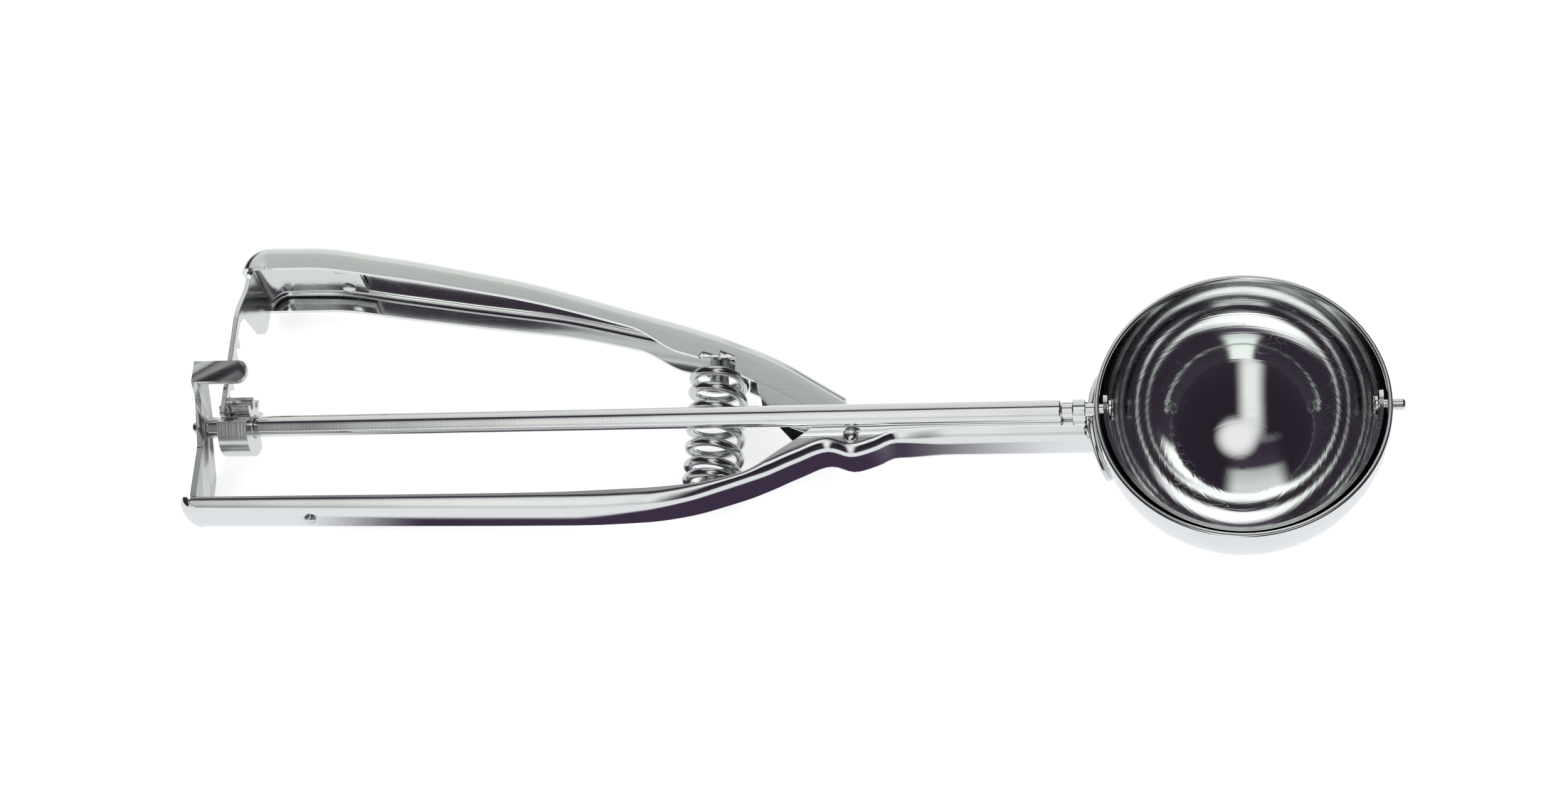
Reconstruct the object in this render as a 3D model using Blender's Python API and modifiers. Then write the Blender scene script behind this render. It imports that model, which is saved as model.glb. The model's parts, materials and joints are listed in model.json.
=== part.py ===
"""Ice cream scoop: bowl, squeeze handles, rack and pinion, and a sweeper blade that turns in the bowl.

The scoop is drawn in its own frame, then laid down as it rests on a table. In that frame the origin
is the centre of the bowl, +X runs along the shaft from the handles to the bowl, +Y points to the
moving handle and +Z points out of the bowl.
"""

import math

import bmesh
import bpy
import numpy as np
from mathutils import Matrix, Vector

MM = 0.001

# Clearances
GAP = 0.3 * MM
SLIP = 0.3 * MM

# Bowl and the plate that joins it to the neck
BOWL_RADIUS = 28.0 * MM
BOWL_WALL = 1.0 * MM
BOWL_COLLAR = 1.8 * MM
SADDLE_THICKNESS = 1.0 * MM
SADDLE_HALF_WIDTH = 12.0 * MM
SADDLE_HALF_HEIGHT = 7.2 * MM

# Shaft
SHAFT_RADIUS = 2.1 * MM
SHAFT_CHAMFER = 0.4 * MM
FRONT_JOURNAL_RADIUS = 1.3 * MM
REAR_JOURNAL_RADIUS = 0.7 * MM
REAR_NUB_RADIUS = 1.2 * MM
REAR_NUB_LENGTH = 1.5 * MM
BUSH_LENGTH = 2.6 * MM
BUSH_WALL = 0.55 * MM
BUSH_TO_SHOULDER = 2.0 * MM
HEAD_THICKNESS = 0.9 * MM
HEAD_FLANGE = 0.8 * MM

# Sweeper blade
BLADE_CLEARANCE = 0.6 * MM
BLADE_THICKNESS = 0.8 * MM
BLADE_WIDTH = 9.0 * MM
EAR_RADIUS = 3.2 * MM
BLADE_REST_DIP = 7.6
BLADE_TURN = 165.0
FRONT_PIN_RADIUS = 1.1 * MM
FRONT_PIN_REACH = 2.4 * MM

# Handles: pressed channels
SHEET = 1.0 * MM
CHANNEL_CORNER = 2.2 * MM
FIXED_HEIGHT = 10.2 * MM
MOVING_REAR_HEIGHT = 18.8 * MM
CHANNEL_RISE = 3.5 * MM
CHANNEL_CLIMB = 40.0 * MM
CHANNEL_STEP = 2.8 * MM
CORNER_SHARE = 0.8
CURL_FLANGE_GAP = 0.6 * MM
NECK_OVERRUN = 0.8
HANDLE_LENGTH = 132.5 * MM
REAR_START_X = -108.0 * MM
FIXED_CURL_RADIUS = 2.9 * MM
FIXED_WEB_Y = -18.7 * MM
NECK_WEB_Y = -4.1 * MM
NECK_EDGE_Y = 3.0 * MM
MOVING_END_INSET = 7.6 * MM
MOVING_CURL_RADIUS = 5.6 * MM
MOVING_WEB_Y = 39.0 * MM

# Pivot of the handles
PIVOT_X = -75.0 * MM
PIVOT_RADIUS = 1.0 * MM
PIVOT_HEAD_RADIUS = 1.45 * MM
PIVOT_HEAD_HEIGHT = 0.7 * MM
PIVOT_TUCK = 0.25 * MM
LUG_RADIUS = 2.0 * MM
LUG_SETBACK = 0.03 * MM
LUG_FRONT = 1.5 * MM
LUG_REAR = 1.2 * MM
BULGE_GAPS = 2.3

# Return spring and the posts that hold it
SPRING_X = -102.5 * MM
SPRING_RADIUS = 6.0 * MM
SPRING_WIRE = 1.5 * MM
SPRING_TURNS = 7
SPRING_CLOSED_PITCH = 2.1 * MM
SPRING_BOTTOM_Y = -11.5 * MM
SPRING_TOP_Y = 14.8 * MM
SPRING_POINTS_PER_TURN = 10
POST_WALL = 0.8 * MM
POST_REACH = 3.5 * MM

# Rack and pinion
MODULE = 1.0 * MM
PINION_TEETH = 10
PRESSURE_ANGLE = 25.0
PINION_ADDENDUM = 0.9
RACK_ADDENDUM = 0.85
DEDENDUM = 1.15
BACKLASH = 0.3 * MM
PINION_LENGTH = 6.0 * MM
PINION_TO_BRACKET = 3.8 * MM
PINION_SMOOTH_ARC = 125.0
RACK_THICKNESS = 1.0 * MM
RACK_BACK = 1.7 * MM
RACK_FOOT_LENGTH = 21.0 * MM
RACK_FOOT_WIDTH = 12.0 * MM
RACK_TIP_Y = -1.2 * MM
RACK_SWING_GAIN = 1.006
NOTCH_START = 4.0

# Rear bracket
BRACKET_THICKNESS = 1.2 * MM
BRACKET_INSET = 2.8 * MM
BRACKET_FOOT_LENGTH = 26.0 * MM
BRACKET_LOW_Z = -9.1 * MM
BRACKET_HIGH_Z = 1.1 * MM
FINGER_START_Y = 5.2 * MM
FINGER_WIDTH = 4.6 * MM
FINGER_LENGTH = 11.0 * MM
LOBE_WALL = 2.1 * MM
BEND_FILLET = 1.6

# Rivets
RIVET_RADIUS = 0.8 * MM
RIVET_HEAD_RADIUS = 1.4 * MM
RIVET_HEAD_HEIGHT = 0.5 * MM
BRACKET_RIVET_INSET = 2.6 * MM
BRACKET_RIVET_LIFT = 1.2 * MM
RACK_RIVET_INSET = 3.9 * MM
RACK_RIVET_SPACING = 8.0 * MM

# Fineness of the faceted surfaces
BOWL_SEGMENTS = 64
BOWL_ARC_STEPS = 14
ROUND_SEGMENTS = 24
CORNER_STEPS = 3
CURL_STEPS = 4

# Places worked out from the sizes above
BOWL_INSIDE = BOWL_RADIUS - BOWL_WALL
SADDLE_INSIDE = BOWL_RADIUS + GAP
SADDLE_OUTSIDE = SADDLE_INSIDE + SADDLE_THICKNESS
BLADE_OUTSIDE = BOWL_INSIDE - BLADE_CLEARANCE
BLADE_INSIDE = BLADE_OUTSIDE - BLADE_THICKNESS
NECK_TOP_Z = -(SHAFT_RADIUS + GAP)
NECK_Z = NECK_TOP_Z - FIXED_HEIGHT / 2
NECK_BOTTOM_Z = NECK_TOP_Z - FIXED_HEIGHT
LUG_HEIGHT = FIXED_HEIGHT - 2 * (SHEET + GAP)
HANDLE_END_X = PIVOT_X - HANDLE_LENGTH
MOVING_END_X = HANDLE_END_X + MOVING_END_INSET
PIVOT_Y = -(SHAFT_RADIUS + PIVOT_HEAD_RADIUS - PIVOT_TUCK)
PIVOT = Vector((PIVOT_X, PIVOT_Y, 0.0))
BUSH_FRONT_X = -(SADDLE_OUTSIDE + GAP)
BUSH_REAR_X = BUSH_FRONT_X - BUSH_LENGTH
BRACKET_REAR_X = HANDLE_END_X + BRACKET_INSET
BRACKET_FRONT_X = BRACKET_REAR_X + BRACKET_THICKNESS
BRACKET_RIVET_X = BRACKET_REAR_X + BRACKET_FOOT_LENGTH - BRACKET_RIVET_INSET
PINION_REAR_X = BRACKET_FRONT_X + PINION_TO_BRACKET
PINION_FRONT_X = PINION_REAR_X + PINION_LENGTH
PINION_RADIUS = MODULE * PINION_TEETH / 2
PINION_TIP = PINION_RADIUS + PINION_ADDENDUM * MODULE
PINION_ROOT = PINION_RADIUS - DEDENDUM * MODULE
RACK_X = MOVING_END_X + SHEET + GAP + RACK_THICKNESS / 2
RACK_RIVET_X = RACK_X + RACK_FOOT_LENGTH - RACK_RIVET_INSET
RACK_RADIUS = PIVOT_X - RACK_X
RACK_BEND_RADIUS = MOVING_CURL_RADIUS - SHEET - GAP - RACK_THICKNESS / 2
RACK_TIP_Z = PINION_RADIUS - RACK_ADDENDUM * MODULE
RACK_ROOT_Z = PINION_RADIUS + DEDENDUM * MODULE
RACK_TOP_Z = RACK_ROOT_Z + RACK_BACK
SPRING_Z = NECK_TOP_Z - SPRING_RADIUS - GAP / 2
BRACKET_LEG_Y = FIXED_WEB_Y + SHEET + GAP

POSE_NAME = "resting_pose"
PART_NAME = "ice_cream_scoop"


def collection(name):
    """Return a new collection in the scene."""
    made = bpy.data.collections.new(name)
    bpy.context.scene.collection.children.link(made)
    return made


def metal(name, colour, roughness):
    """Return a metal material."""
    material = bpy.data.materials.new(name)
    material.use_nodes = True
    shader = material.node_tree.nodes["Principled BSDF"]
    shader.inputs["Base Color"].default_value = (*colour, 1.0)
    shader.inputs["Metallic"].default_value = 1.0
    shader.inputs["Roughness"].default_value = roughness
    return material


def clear_scene():
    """Remove every object of the open scene."""
    for obj in list(bpy.data.objects):
        bpy.data.objects.remove(obj)


def place(obj, group, parent):
    """Put an object, drawn in the scoop's frame, in a collection and under an empty."""
    group.objects.link(obj)
    obj.parent = parent
    obj.location = obj.location - parent_offset(parent)
    return obj


def parent_offset(parent):
    """Return the place of an empty in the scoop's frame."""
    return Vector(parent["place"])


def mesh_object(name, vertices, faces, group, parent):
    """Return an object made of these vertices and faces."""
    mesh = bpy.data.meshes.new(name)
    mesh.from_pydata([tuple(v) for v in vertices], [], faces)
    mesh.update()
    return place(bpy.data.objects.new(name, mesh), group, parent)


def grid_object(name, rows, group, parent, flip=False):
    """Return an open surface through rows of points, each row as long as the next."""
    width = len(rows[0])
    faces = []
    for i in range(len(rows) - 1):
        for j in range(width - 1):
            start = i * width + j
            face = [start, start + 1, start + width + 1, start + width]
            faces.append(face[::-1] if flip else face)
    vertices = [point for row in rows for point in row]
    return mesh_object(name, vertices, faces, group, parent)


def finish(obj, material, smooth_angle=30.0):
    """Give an object its material and smooth shading with sharp edges kept."""
    obj.data.materials.clear()
    obj.data.materials.append(material)
    obj.data.shade_smooth()
    obj.data.set_sharp_from_angle(angle=math.radians(smooth_angle))
    return obj


def thicken(obj, thickness, offset):
    """Turn an open surface into a sheet."""
    modifier = obj.modifiers.new("sheet", "SOLIDIFY")
    modifier.thickness = thickness
    modifier.offset = offset
    modifier.use_even_offset = True
    return obj


def combine(obj, other, operation):
    """Add a Boolean modifier to an object; the other object becomes a guide."""
    modifier = obj.modifiers.new(other.name, "BOOLEAN")
    modifier.operation = operation
    modifier.object = other
    modifier.solver = "EXACT"
    other.hide_render = True
    other.display_type = "WIRE"
    return obj


def turned(name, profile, axis_matrix, group, parent, segments=ROUND_SEGMENTS):
    """Return a turned solid from (radius, height) points, listed down the outer side."""
    closed = profile[0] == profile[-1]
    vertices = [(radius, 0.0, height) for radius, height in (profile[:-1] if closed else profile)]
    edges = [(i, i + 1) for i in range(len(vertices) - 1)]
    if closed:
        edges.append((len(vertices) - 1, 0))
    mesh = bpy.data.meshes.new(name)
    mesh.from_pydata(vertices, edges, [])
    obj = bpy.data.objects.new(name, mesh)
    obj.matrix_basis = axis_matrix
    place(obj, group, parent)
    screw = obj.modifiers.new("turn", "SCREW")
    screw.axis = "Z"
    screw.steps = segments
    screw.render_steps = segments
    screw.use_merge_vertices = True
    screw.merge_threshold = 0.00001
    return obj


def along_x(x=0.0):
    """Return the matrix that lays a turned piece along the shaft, its top towards +X."""
    return Matrix.Translation((x, 0.0, 0.0)) @ Matrix.Rotation(math.radians(90.0), 4, "Y")


def cylinder(name, radius, start, end, group, parent, segments=ROUND_SEGMENTS):
    """Return a cylinder between two points."""
    axis = Vector(end) - Vector(start)
    mesh = bpy.data.meshes.new(name)
    bm = bmesh.new()
    bmesh.ops.create_cone(
        bm, cap_ends=True, segments=segments, radius1=radius, radius2=radius, depth=axis.length
    )
    bm.to_mesh(mesh)
    bm.free()
    obj = bpy.data.objects.new(name, mesh)
    turn = Vector((0.0, 0.0, 1.0)).rotation_difference(axis).to_matrix().to_4x4()
    obj.matrix_basis = Matrix.Translation((Vector(start) + Vector(end)) / 2) @ turn
    return place(obj, group, parent)


def sphere(name, radius, group, parent):
    """Return a ball about the centre of the bowl."""
    mesh = bpy.data.meshes.new(name)
    bm = bmesh.new()
    bmesh.ops.create_uvsphere(bm, u_segments=BOWL_SEGMENTS, v_segments=BOWL_SEGMENTS // 2, radius=radius)
    bm.to_mesh(mesh)
    bm.free()
    return place(bpy.data.objects.new(name, mesh), group, parent)


def rounded(corners):
    """Return an outline from (x, y, radius) corners, each rounded by an arc of that radius."""
    outline = []
    count = len(corners)
    for i, (x, y, radius) in enumerate(corners):
        corner = Vector((x, y))
        if radius == 0.0:
            outline.append(corner)
            continue
        before = (Vector(corners[i - 1][:2]) - corner).normalized()
        after = (Vector(corners[(i + 1) % count][:2]) - corner).normalized()
        half = before.angle(after) / 2
        centre = corner + (before + after).normalized() * radius / math.sin(half)
        start = corner + before * radius / math.tan(half) - centre
        end = corner + after * radius / math.tan(half) - centre
        sweep = start.angle_signed(end)
        steps = max(2, round(abs(math.degrees(sweep)) / 20.0))
        for step in range(steps + 1):
            turn = -sweep * step / steps
            outline.append(centre + Matrix.Rotation(turn, 2) @ start)
    return outline


def plate(name, outline, thickness, matrix, group, parent):
    """Return a flat plate from an outline, made a mesh so that it can be cut and joined."""
    curve = bpy.data.curves.new(name, "CURVE")
    curve.dimensions = "2D"
    curve.fill_mode = "BOTH"
    curve.extrude = thickness / 2
    spline = curve.splines.new("POLY")
    spline.points.add(len(outline) - 1)
    for point, (x, y) in zip(spline.points, outline):
        point.co = (x, y, 0.0, 1.0)
    spline.use_cyclic_u = True
    drawn = bpy.data.objects.new(name + "_outline", curve)
    bpy.context.scene.collection.objects.link(drawn)
    drawn.matrix_world = matrix
    return meshed(name, drawn, group, parent)


def meshed(name, drawn, group, parent):
    """Replace a curve object by a mesh object with its caps welded."""
    bpy.context.view_layer.update()
    depsgraph = bpy.context.evaluated_depsgraph_get()
    mesh = bpy.data.meshes.new_from_object(drawn.evaluated_get(depsgraph))
    bm = bmesh.new()
    bm.from_mesh(mesh)
    bmesh.ops.remove_doubles(bm, verts=bm.verts, dist=0.00001)
    bm.to_mesh(mesh)
    bm.free()
    obj = bpy.data.objects.new(name, mesh)
    obj.matrix_basis = drawn.matrix_world.copy()
    bpy.data.objects.remove(drawn)
    return place(obj, group, parent)


def yz_plane(x):
    """Return the matrix that stands an outline in (Y, Z) at this X."""
    return Matrix(((0, 0, 1, x), (1, 0, 0, 0), (0, 1, 0, 0), (0, 0, 0, 1)))


def xy_plane(z):
    """Return the matrix that lays an outline in (X, Y) at this Z."""
    return Matrix.Translation((0.0, 0.0, z))


def smooth(knots, x):
    """Return the height at x of a smooth line through (x, height) knots, without overshoot."""
    xs, ys = np.array(sorted(knots)).T
    secants = np.diff(ys) / np.diff(xs)
    slopes = np.concatenate(([secants[0]], np.zeros(len(xs) - 2), [secants[-1]]))
    for i in range(1, len(xs) - 1):
        product = secants[i - 1] * secants[i]
        if product > 0.0:
            slopes[i] = 2 * product / (secants[i - 1] + secants[i])
    x = min(max(x, xs[0]), xs[-1])
    i = min(int(np.searchsorted(xs, x, side="right")) - 1, len(xs) - 2)
    width = xs[i + 1] - xs[i]
    t = (x - xs[i]) / width
    from_start = (1 + 2 * t) * (1 - t) ** 2 * ys[i] + t * (1 - t) ** 2 * width * slopes[i]
    from_end = t**2 * (3 - 2 * t) * ys[i + 1] + t**2 * (t - 1) * width * slopes[i + 1]
    return float(from_start + from_end)


def in_mm(knots):
    """Return (x, y) knots given in millimetres as metres."""
    return [(x * MM, y * MM) for x, y in knots]


def on_rear(knots):
    """Return (share, y) knots as (x, y), the share taken along the handles' long rear part."""
    return [(REAR_START_X + share * (HANDLE_END_X - REAR_START_X), y * MM) for share, y in knots]


def channel_mid(x):
    """Return the height of both handles' middle plane; it climbs towards the rear."""
    climb_start = PIVOT_X - CHANNEL_CLIMB
    share = max(0.0, (climb_start - x) / (climb_start - HANDLE_END_X))
    return NECK_Z + CHANNEL_RISE * share


def fixed_web(x):
    """Return Y of the fixed handle's outer web."""
    bulge = PIVOT_Y - LUG_RADIUS - BULGE_GAPS * GAP - SHEET
    knots = on_rear([(0.22, -18.6), (0.07, -17.4)])
    knots += in_mm([(-107.0, -16.0), (-100.0, -13.9), (-92.0, -11.0)])
    knots += on_rear([(1.0, FIXED_WEB_Y / MM), (0.4, FIXED_WEB_Y / MM)])
    knots += [(PIVOT_X - 10.5 * MM, bulge - 1.0 * MM), (PIVOT_X - 4.5 * MM, bulge + 1.2 * MM)]
    knots += [(PIVOT_X, bulge), (PIVOT_X + 4.5 * MM, bulge + 1.2 * MM)]
    knots += [(PIVOT_X + 8.5 * MM, NECK_WEB_Y), (0.0, NECK_WEB_Y)]
    return smooth(knots, x)


def fixed_edge(x):
    """Return Y of the free edges of the fixed handle's flanges."""
    rear = FIXED_WEB_Y + FIXED_CURL_RADIUS
    knots = on_rear([(0.8, -15.5), (0.27, -14.7), (0.12, -14.0), (0.0, -13.2)])
    knots += in_mm([(-96.0, -10.7), (-88.4, -5.7), (-83.2, -1.8)])
    knots += [(HANDLE_END_X, rear), (PIVOT_X - 3.0 * MM, NECK_EDGE_Y), (0.0, NECK_EDGE_Y)]
    return smooth(knots, x)


def fixed_half_height(x):
    """Return half the height of the fixed handle, the same all along."""
    return FIXED_HEIGHT / 2


def moving_web(x):
    """Return Y of the moving handle's outer web."""
    knots = on_rear([(0.623, 36.8), (0.462, 34.0), (0.302, 31.0), (0.151, 27.0)])
    knots += in_mm([(-107.7, 22.5), (-96.0, 18.2), (-88.6, 14.5), (-82.0, 10.2), (-76.5, 6.6)])
    knots += [(MOVING_END_X, MOVING_WEB_Y), (MOVING_END_X + 14.0 * MM, MOVING_WEB_Y)]
    return smooth(knots, x)


def moving_depth(x):
    """Return how deep the moving handle's flanges are."""
    knots = on_rear([(0.372, 4.8), (0.12, 4.2), (0.02, 6.8)])
    knots += in_mm([(-103.0, 6.6), (-95.0, 7.6), (-76.5, 7.6)])
    knots += [(MOVING_END_X, MOVING_CURL_RADIUS)]
    return smooth(knots, x)


def moving_half_height(x):
    """Return half the height of the moving handle, which flares towards the rear."""
    knots = on_rear([(0.623, 18.4), (0.392, 16.0), (0.231, 12.5), (0.08, 10.2)])
    knots.append((-102.0 * MM, 8.6 * MM))
    knots += [(MOVING_END_X, MOVING_REAR_HEIGHT), (-95.0 * MM, LUG_HEIGHT), (PIVOT_X, LUG_HEIGHT)]
    return smooth(knots, x) / 2


def channel_section(web, inward, depth, mid, half_height):
    """Return one C section: upper free edge, corner, web, corner, lower free edge."""
    corner = min(CHANNEL_CORNER, CORNER_SHARE * depth)
    arc = [math.pi / 2 * step / CORNER_STEPS for step in range(CORNER_STEPS + 1)]
    upper = [(depth, half_height)]
    for angle in arc:
        upper.append((corner * (1 - math.sin(angle)), half_height - corner * (1 - math.cos(angle))))
    points = upper + [(reach, -rise) for reach, rise in reversed(upper)]
    return [web + inward * reach + Vector((0.0, 0.0, mid + rise)) for reach, rise in points]


def channel(name, end_x, front_x, step, side, curl_radius, web_y, depth, half_height, group, parent):
    """Return a pressed channel whose rear end curls round into an end wall.

    side is +1 where the channel opens towards +Y and -1 where it opens towards -Y.
    """
    curl_x = end_x + curl_radius
    centre = Vector((curl_x, web_y(curl_x) + side * curl_radius, 0.0))
    flange = curl_radius - CURL_FLANGE_GAP
    rows = []
    for i in range(CURL_STEPS):
        angle = math.pi / 2 * (1 - i / CURL_STEPS)
        inward = Vector((math.sin(angle), side * math.cos(angle), 0.0))
        web = centre - inward * curl_radius
        rows.append(channel_section(web, inward, flange, channel_mid(web.x), half_height(web.x)))
    count = round((front_x - curl_x) / step)
    for i in range(count + 1):
        x = curl_x + (front_x - curl_x) * i / count
        web = Vector((x, web_y(x), 0.0))
        inward = Vector((0.0, side, 0.0))
        rows.append(channel_section(web, inward, depth(x), channel_mid(x), half_height(x)))
    made = grid_object(name, rows, group, parent, flip=side < 0)
    return thicken(made, SHEET, -1.0)


def make_bowl(parts, cutters, pose, material):
    """Make the spun bowl with a pivot hole on each side."""
    angles = [math.pi / 2 * step / BOWL_ARC_STEPS for step in range(BOWL_ARC_STEPS + 1)]
    inside = [(BOWL_INSIDE * math.sin(a), -BOWL_INSIDE * math.cos(a)) for a in angles]
    outside = [(BOWL_RADIUS * math.sin(a), -BOWL_RADIUS * math.cos(a)) for a in angles]
    profile = inside + [(BOWL_INSIDE, BOWL_COLLAR), (BOWL_RADIUS, BOWL_COLLAR)] + outside[::-1]
    profile[0] = (0.0, -BOWL_INSIDE)
    profile[-1] = (0.0, -BOWL_RADIUS)
    bowl = turned("bowl", profile, Matrix.Identity(4), parts, pose, BOWL_SEGMENTS)
    reach = BOWL_RADIUS + 5.0 * MM
    rear = cylinder(
        "bowl_rear_hole", FRONT_JOURNAL_RADIUS + SLIP, (-reach, 0, 0), (0, 0, 0), cutters, pose
    )
    front = cylinder("bowl_front_hole", FRONT_PIN_RADIUS + SLIP, (0, 0, 0), (reach, 0, 0), cutters, pose)
    combine(bowl, rear, "DIFFERENCE")
    combine(bowl, front, "DIFFERENCE")
    return finish(bowl, material)


def make_saddle(parts, cutters, pose, material):
    """Make the curved plate between the bowl and the neck."""
    rings = 6
    spokes = 32
    middle = math.asin(NECK_Z / SADDLE_OUTSIDE)
    half_turn = SADDLE_HALF_WIDTH / SADDLE_OUTSIDE
    half_lift = SADDLE_HALF_HEIGHT / SADDLE_OUTSIDE
    vertices = []
    faces = []

    def on_ball(turn, lift):
        level = SADDLE_OUTSIDE * math.cos(lift)
        return (-level * math.cos(turn), level * math.sin(turn), SADDLE_OUTSIDE * math.sin(lift))

    vertices.append(on_ball(0.0, middle))
    for ring in range(1, rings + 1):
        for spoke in range(spokes):
            angle = 2 * math.pi * spoke / spokes
            share = ring / rings
            turn = half_turn * share * math.cos(angle)
            lift = middle + half_lift * share * math.sin(angle)
            vertices.append(on_ball(turn, lift))
    for spoke in range(spokes):
        following = (spoke + 1) % spokes
        faces.append([0, 1 + following, 1 + spoke])
        for ring in range(rings - 1):
            near = 1 + ring * spokes
            far = near + spokes
            faces.append([near + spoke, near + following, far + following, far + spoke])
    saddle = mesh_object("bowl_saddle", vertices, faces, parts, pose)
    thicken(saddle, SADDLE_THICKNESS, -1.0)
    hole = cylinder(
        "saddle_hole",
        FRONT_JOURNAL_RADIUS + SLIP,
        (-2 * BOWL_RADIUS, 0, 0),
        (0, 0, 0),
        cutters,
        pose,
    )
    combine(saddle, hole, "DIFFERENCE")
    return finish(saddle, material)


def make_fixed_handle(parts, cutters, pose, material):
    """Make the lower handle and the neck, one pressing."""

    def depth(x):
        return fixed_edge(x) - fixed_web(x)

    handle = channel(
        "fixed_handle",
        HANDLE_END_X,
        -BOWL_RADIUS * NECK_OVERRUN,
        CHANNEL_STEP,
        1,
        FIXED_CURL_RADIUS,
        fixed_web,
        depth,
        fixed_half_height,
        parts,
        pose,
    )
    ball = sphere("neck_end_cutter", SADDLE_OUTSIDE + GAP, cutters, pose)
    combine(handle, ball, "DIFFERENCE")
    pivot_hole = cylinder(
        "fixed_pivot_hole",
        PIVOT_RADIUS + SLIP / 2,
        (PIVOT_X, PIVOT_Y, 2 * NECK_BOTTOM_Z),
        (PIVOT_X, PIVOT_Y, 0.0),
        cutters,
        pose,
    )
    combine(handle, pivot_hole, "DIFFERENCE")
    relief = cylinder(
        "fixed_spring_relief",
        SPRING_RADIUS + GAP,
        (SPRING_X, SPRING_BOTTOM_Y - GAP, SPRING_Z),
        (SPRING_X, NECK_EDGE_Y, SPRING_Z),
        cutters,
        pose,
    )
    combine(handle, relief, "DIFFERENCE")
    rivet_z = bracket_rivet_z()
    rivet_hole = cylinder(
        "fixed_rivet_hole",
        RIVET_RADIUS + SLIP,
        (BRACKET_RIVET_X, FIXED_WEB_Y - 2 * SHEET, rivet_z),
        (BRACKET_RIVET_X, FIXED_WEB_Y + 2 * SHEET, rivet_z),
        cutters,
        pose,
    )
    combine(handle, rivet_hole, "DIFFERENCE")
    return finish(handle, material)


def make_moving_handle(parts, cutters, pivot, material):
    """Make the upper handle with a lug on each side of the rivet."""
    handle = channel(
        "moving_handle",
        MOVING_END_X,
        PIVOT_X - LUG_FRONT,
        CHANNEL_STEP,
        -1,
        MOVING_CURL_RADIUS,
        moving_web,
        moving_depth,
        moving_half_height,
        parts,
        pivot,
    )
    rear_x = SPRING_X + SPRING_RADIUS + LUG_REAR
    web_inside = -SHEET / 2
    lug = [
        (rear_x, moving_web(rear_x) - CHANNEL_CORNER, 0.0),
        (rear_x + 1.5 * MM, PIVOT_Y + 10.5 * MM, 2.0 * MM),
        (PIVOT_X - 12.5 * MM, PIVOT_Y + 3.3 * MM, 4.0 * MM),
        (PIVOT_X - 6.5 * MM, PIVOT_Y + 0.8 * MM, 1.0 * MM),
    ]
    for degrees in range(-135, 31, 15):
        angle = math.radians(degrees)
        x = PIVOT_X + LUG_RADIUS * math.cos(angle)
        lug.append((x, PIVOT_Y + LUG_RADIUS * math.sin(angle), 0.0))
    front_x = PIVOT_X - LUG_FRONT
    lug.append((front_x, moving_web(front_x) - CHANNEL_CORNER, 0.0))
    middle_x = (rear_x + front_x) / 2
    lug.append((middle_x, moving_web(middle_x) - CHANNEL_CORNER + web_inside, 0.0))
    for name, side in (("upper_lug", 1), ("lower_lug", -1)):
        z = NECK_Z + side * (LUG_HEIGHT - SHEET) / 2
        piece = plate(name, rounded(lug), SHEET - 2 * LUG_SETBACK, xy_plane(z), cutters, pivot)
        combine(handle, piece, "UNION")
    hole = cylinder(
        "moving_pivot_hole",
        PIVOT_RADIUS + SLIP / 2,
        (PIVOT_X, PIVOT_Y, 2 * NECK_BOTTOM_Z),
        (PIVOT_X, PIVOT_Y, 0.0),
        cutters,
        pivot,
    )
    combine(handle, hole, "DIFFERENCE")
    relief = cylinder(
        "moving_spring_relief",
        SPRING_RADIUS + GAP,
        (SPRING_X, PIVOT_Y, SPRING_Z),
        (SPRING_X, SPRING_TOP_Y + GAP, SPRING_Z),
        cutters,
        pivot,
    )
    combine(handle, relief, "DIFFERENCE")
    for name, z in rack_rivet_places():
        rivet_hole = cylinder(
            name + "_hole",
            RIVET_RADIUS + SLIP,
            (RACK_RIVET_X, MOVING_WEB_Y - 4 * SHEET, z),
            (RACK_RIVET_X, MOVING_WEB_Y + 2 * SHEET, z),
            cutters,
            pivot,
        )
        combine(handle, rivet_hole, "DIFFERENCE")
    return finish(handle, material)


def rack_rivet_places():
    """Return the name and the height of each rivet in the rack's foot."""
    mid = channel_mid(RACK_RIVET_X)
    offset = RACK_RIVET_SPACING / 2
    return [("rack_rivet_upper", mid + offset), ("rack_rivet_lower", mid - offset)]


def rivet(name, x, z, head_y, tail_y, group, parent, material):
    """Return a small rivet along Y whose head seats at head_y and whose tail seats at tail_y."""
    span = abs(head_y - tail_y) / 2
    middle = (head_y + tail_y) / 2
    head = RIVET_HEAD_HEIGHT
    profile = [
        (0.0, span + GAP + head),
        (RIVET_HEAD_RADIUS * 0.7, span + GAP + head * 0.8),
        (RIVET_HEAD_RADIUS, span + GAP),
        (RIVET_RADIUS, span + GAP),
        (RIVET_RADIUS, -span - GAP),
        (RIVET_HEAD_RADIUS, -span - GAP),
        (RIVET_HEAD_RADIUS * 0.7, -span - GAP - head * 0.8),
        (0.0, -span - GAP - head),
    ]
    matrix = Matrix.Translation((x, middle, z)) @ Matrix.Rotation(math.radians(90.0), 4, "X")
    return finish(turned(name, profile, matrix, group, parent, 16), material)


def make_pivot_rivet(parts, pose, material):
    """Make the rivet that both handles turn on."""
    top = NECK_TOP_Z + GAP
    bottom = NECK_BOTTOM_Z - GAP
    head = PIVOT_HEAD_HEIGHT
    radius = PIVOT_HEAD_RADIUS
    profile = [
        (0.0, top + head),
        (radius * 0.55, top + head * 0.9),
        (radius * 0.9, top + head * 0.5),
        (radius, top),
        (PIVOT_RADIUS, top),
        (PIVOT_RADIUS, bottom),
        (radius, bottom),
        (radius * 0.9, bottom - head * 0.5),
        (radius * 0.55, bottom - head * 0.9),
        (0.0, bottom - head),
    ]
    matrix = Matrix.Translation((PIVOT_X, PIVOT_Y, 0.0))
    return finish(turned("pivot_rivet", profile, matrix, parts, pose), material)


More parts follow.
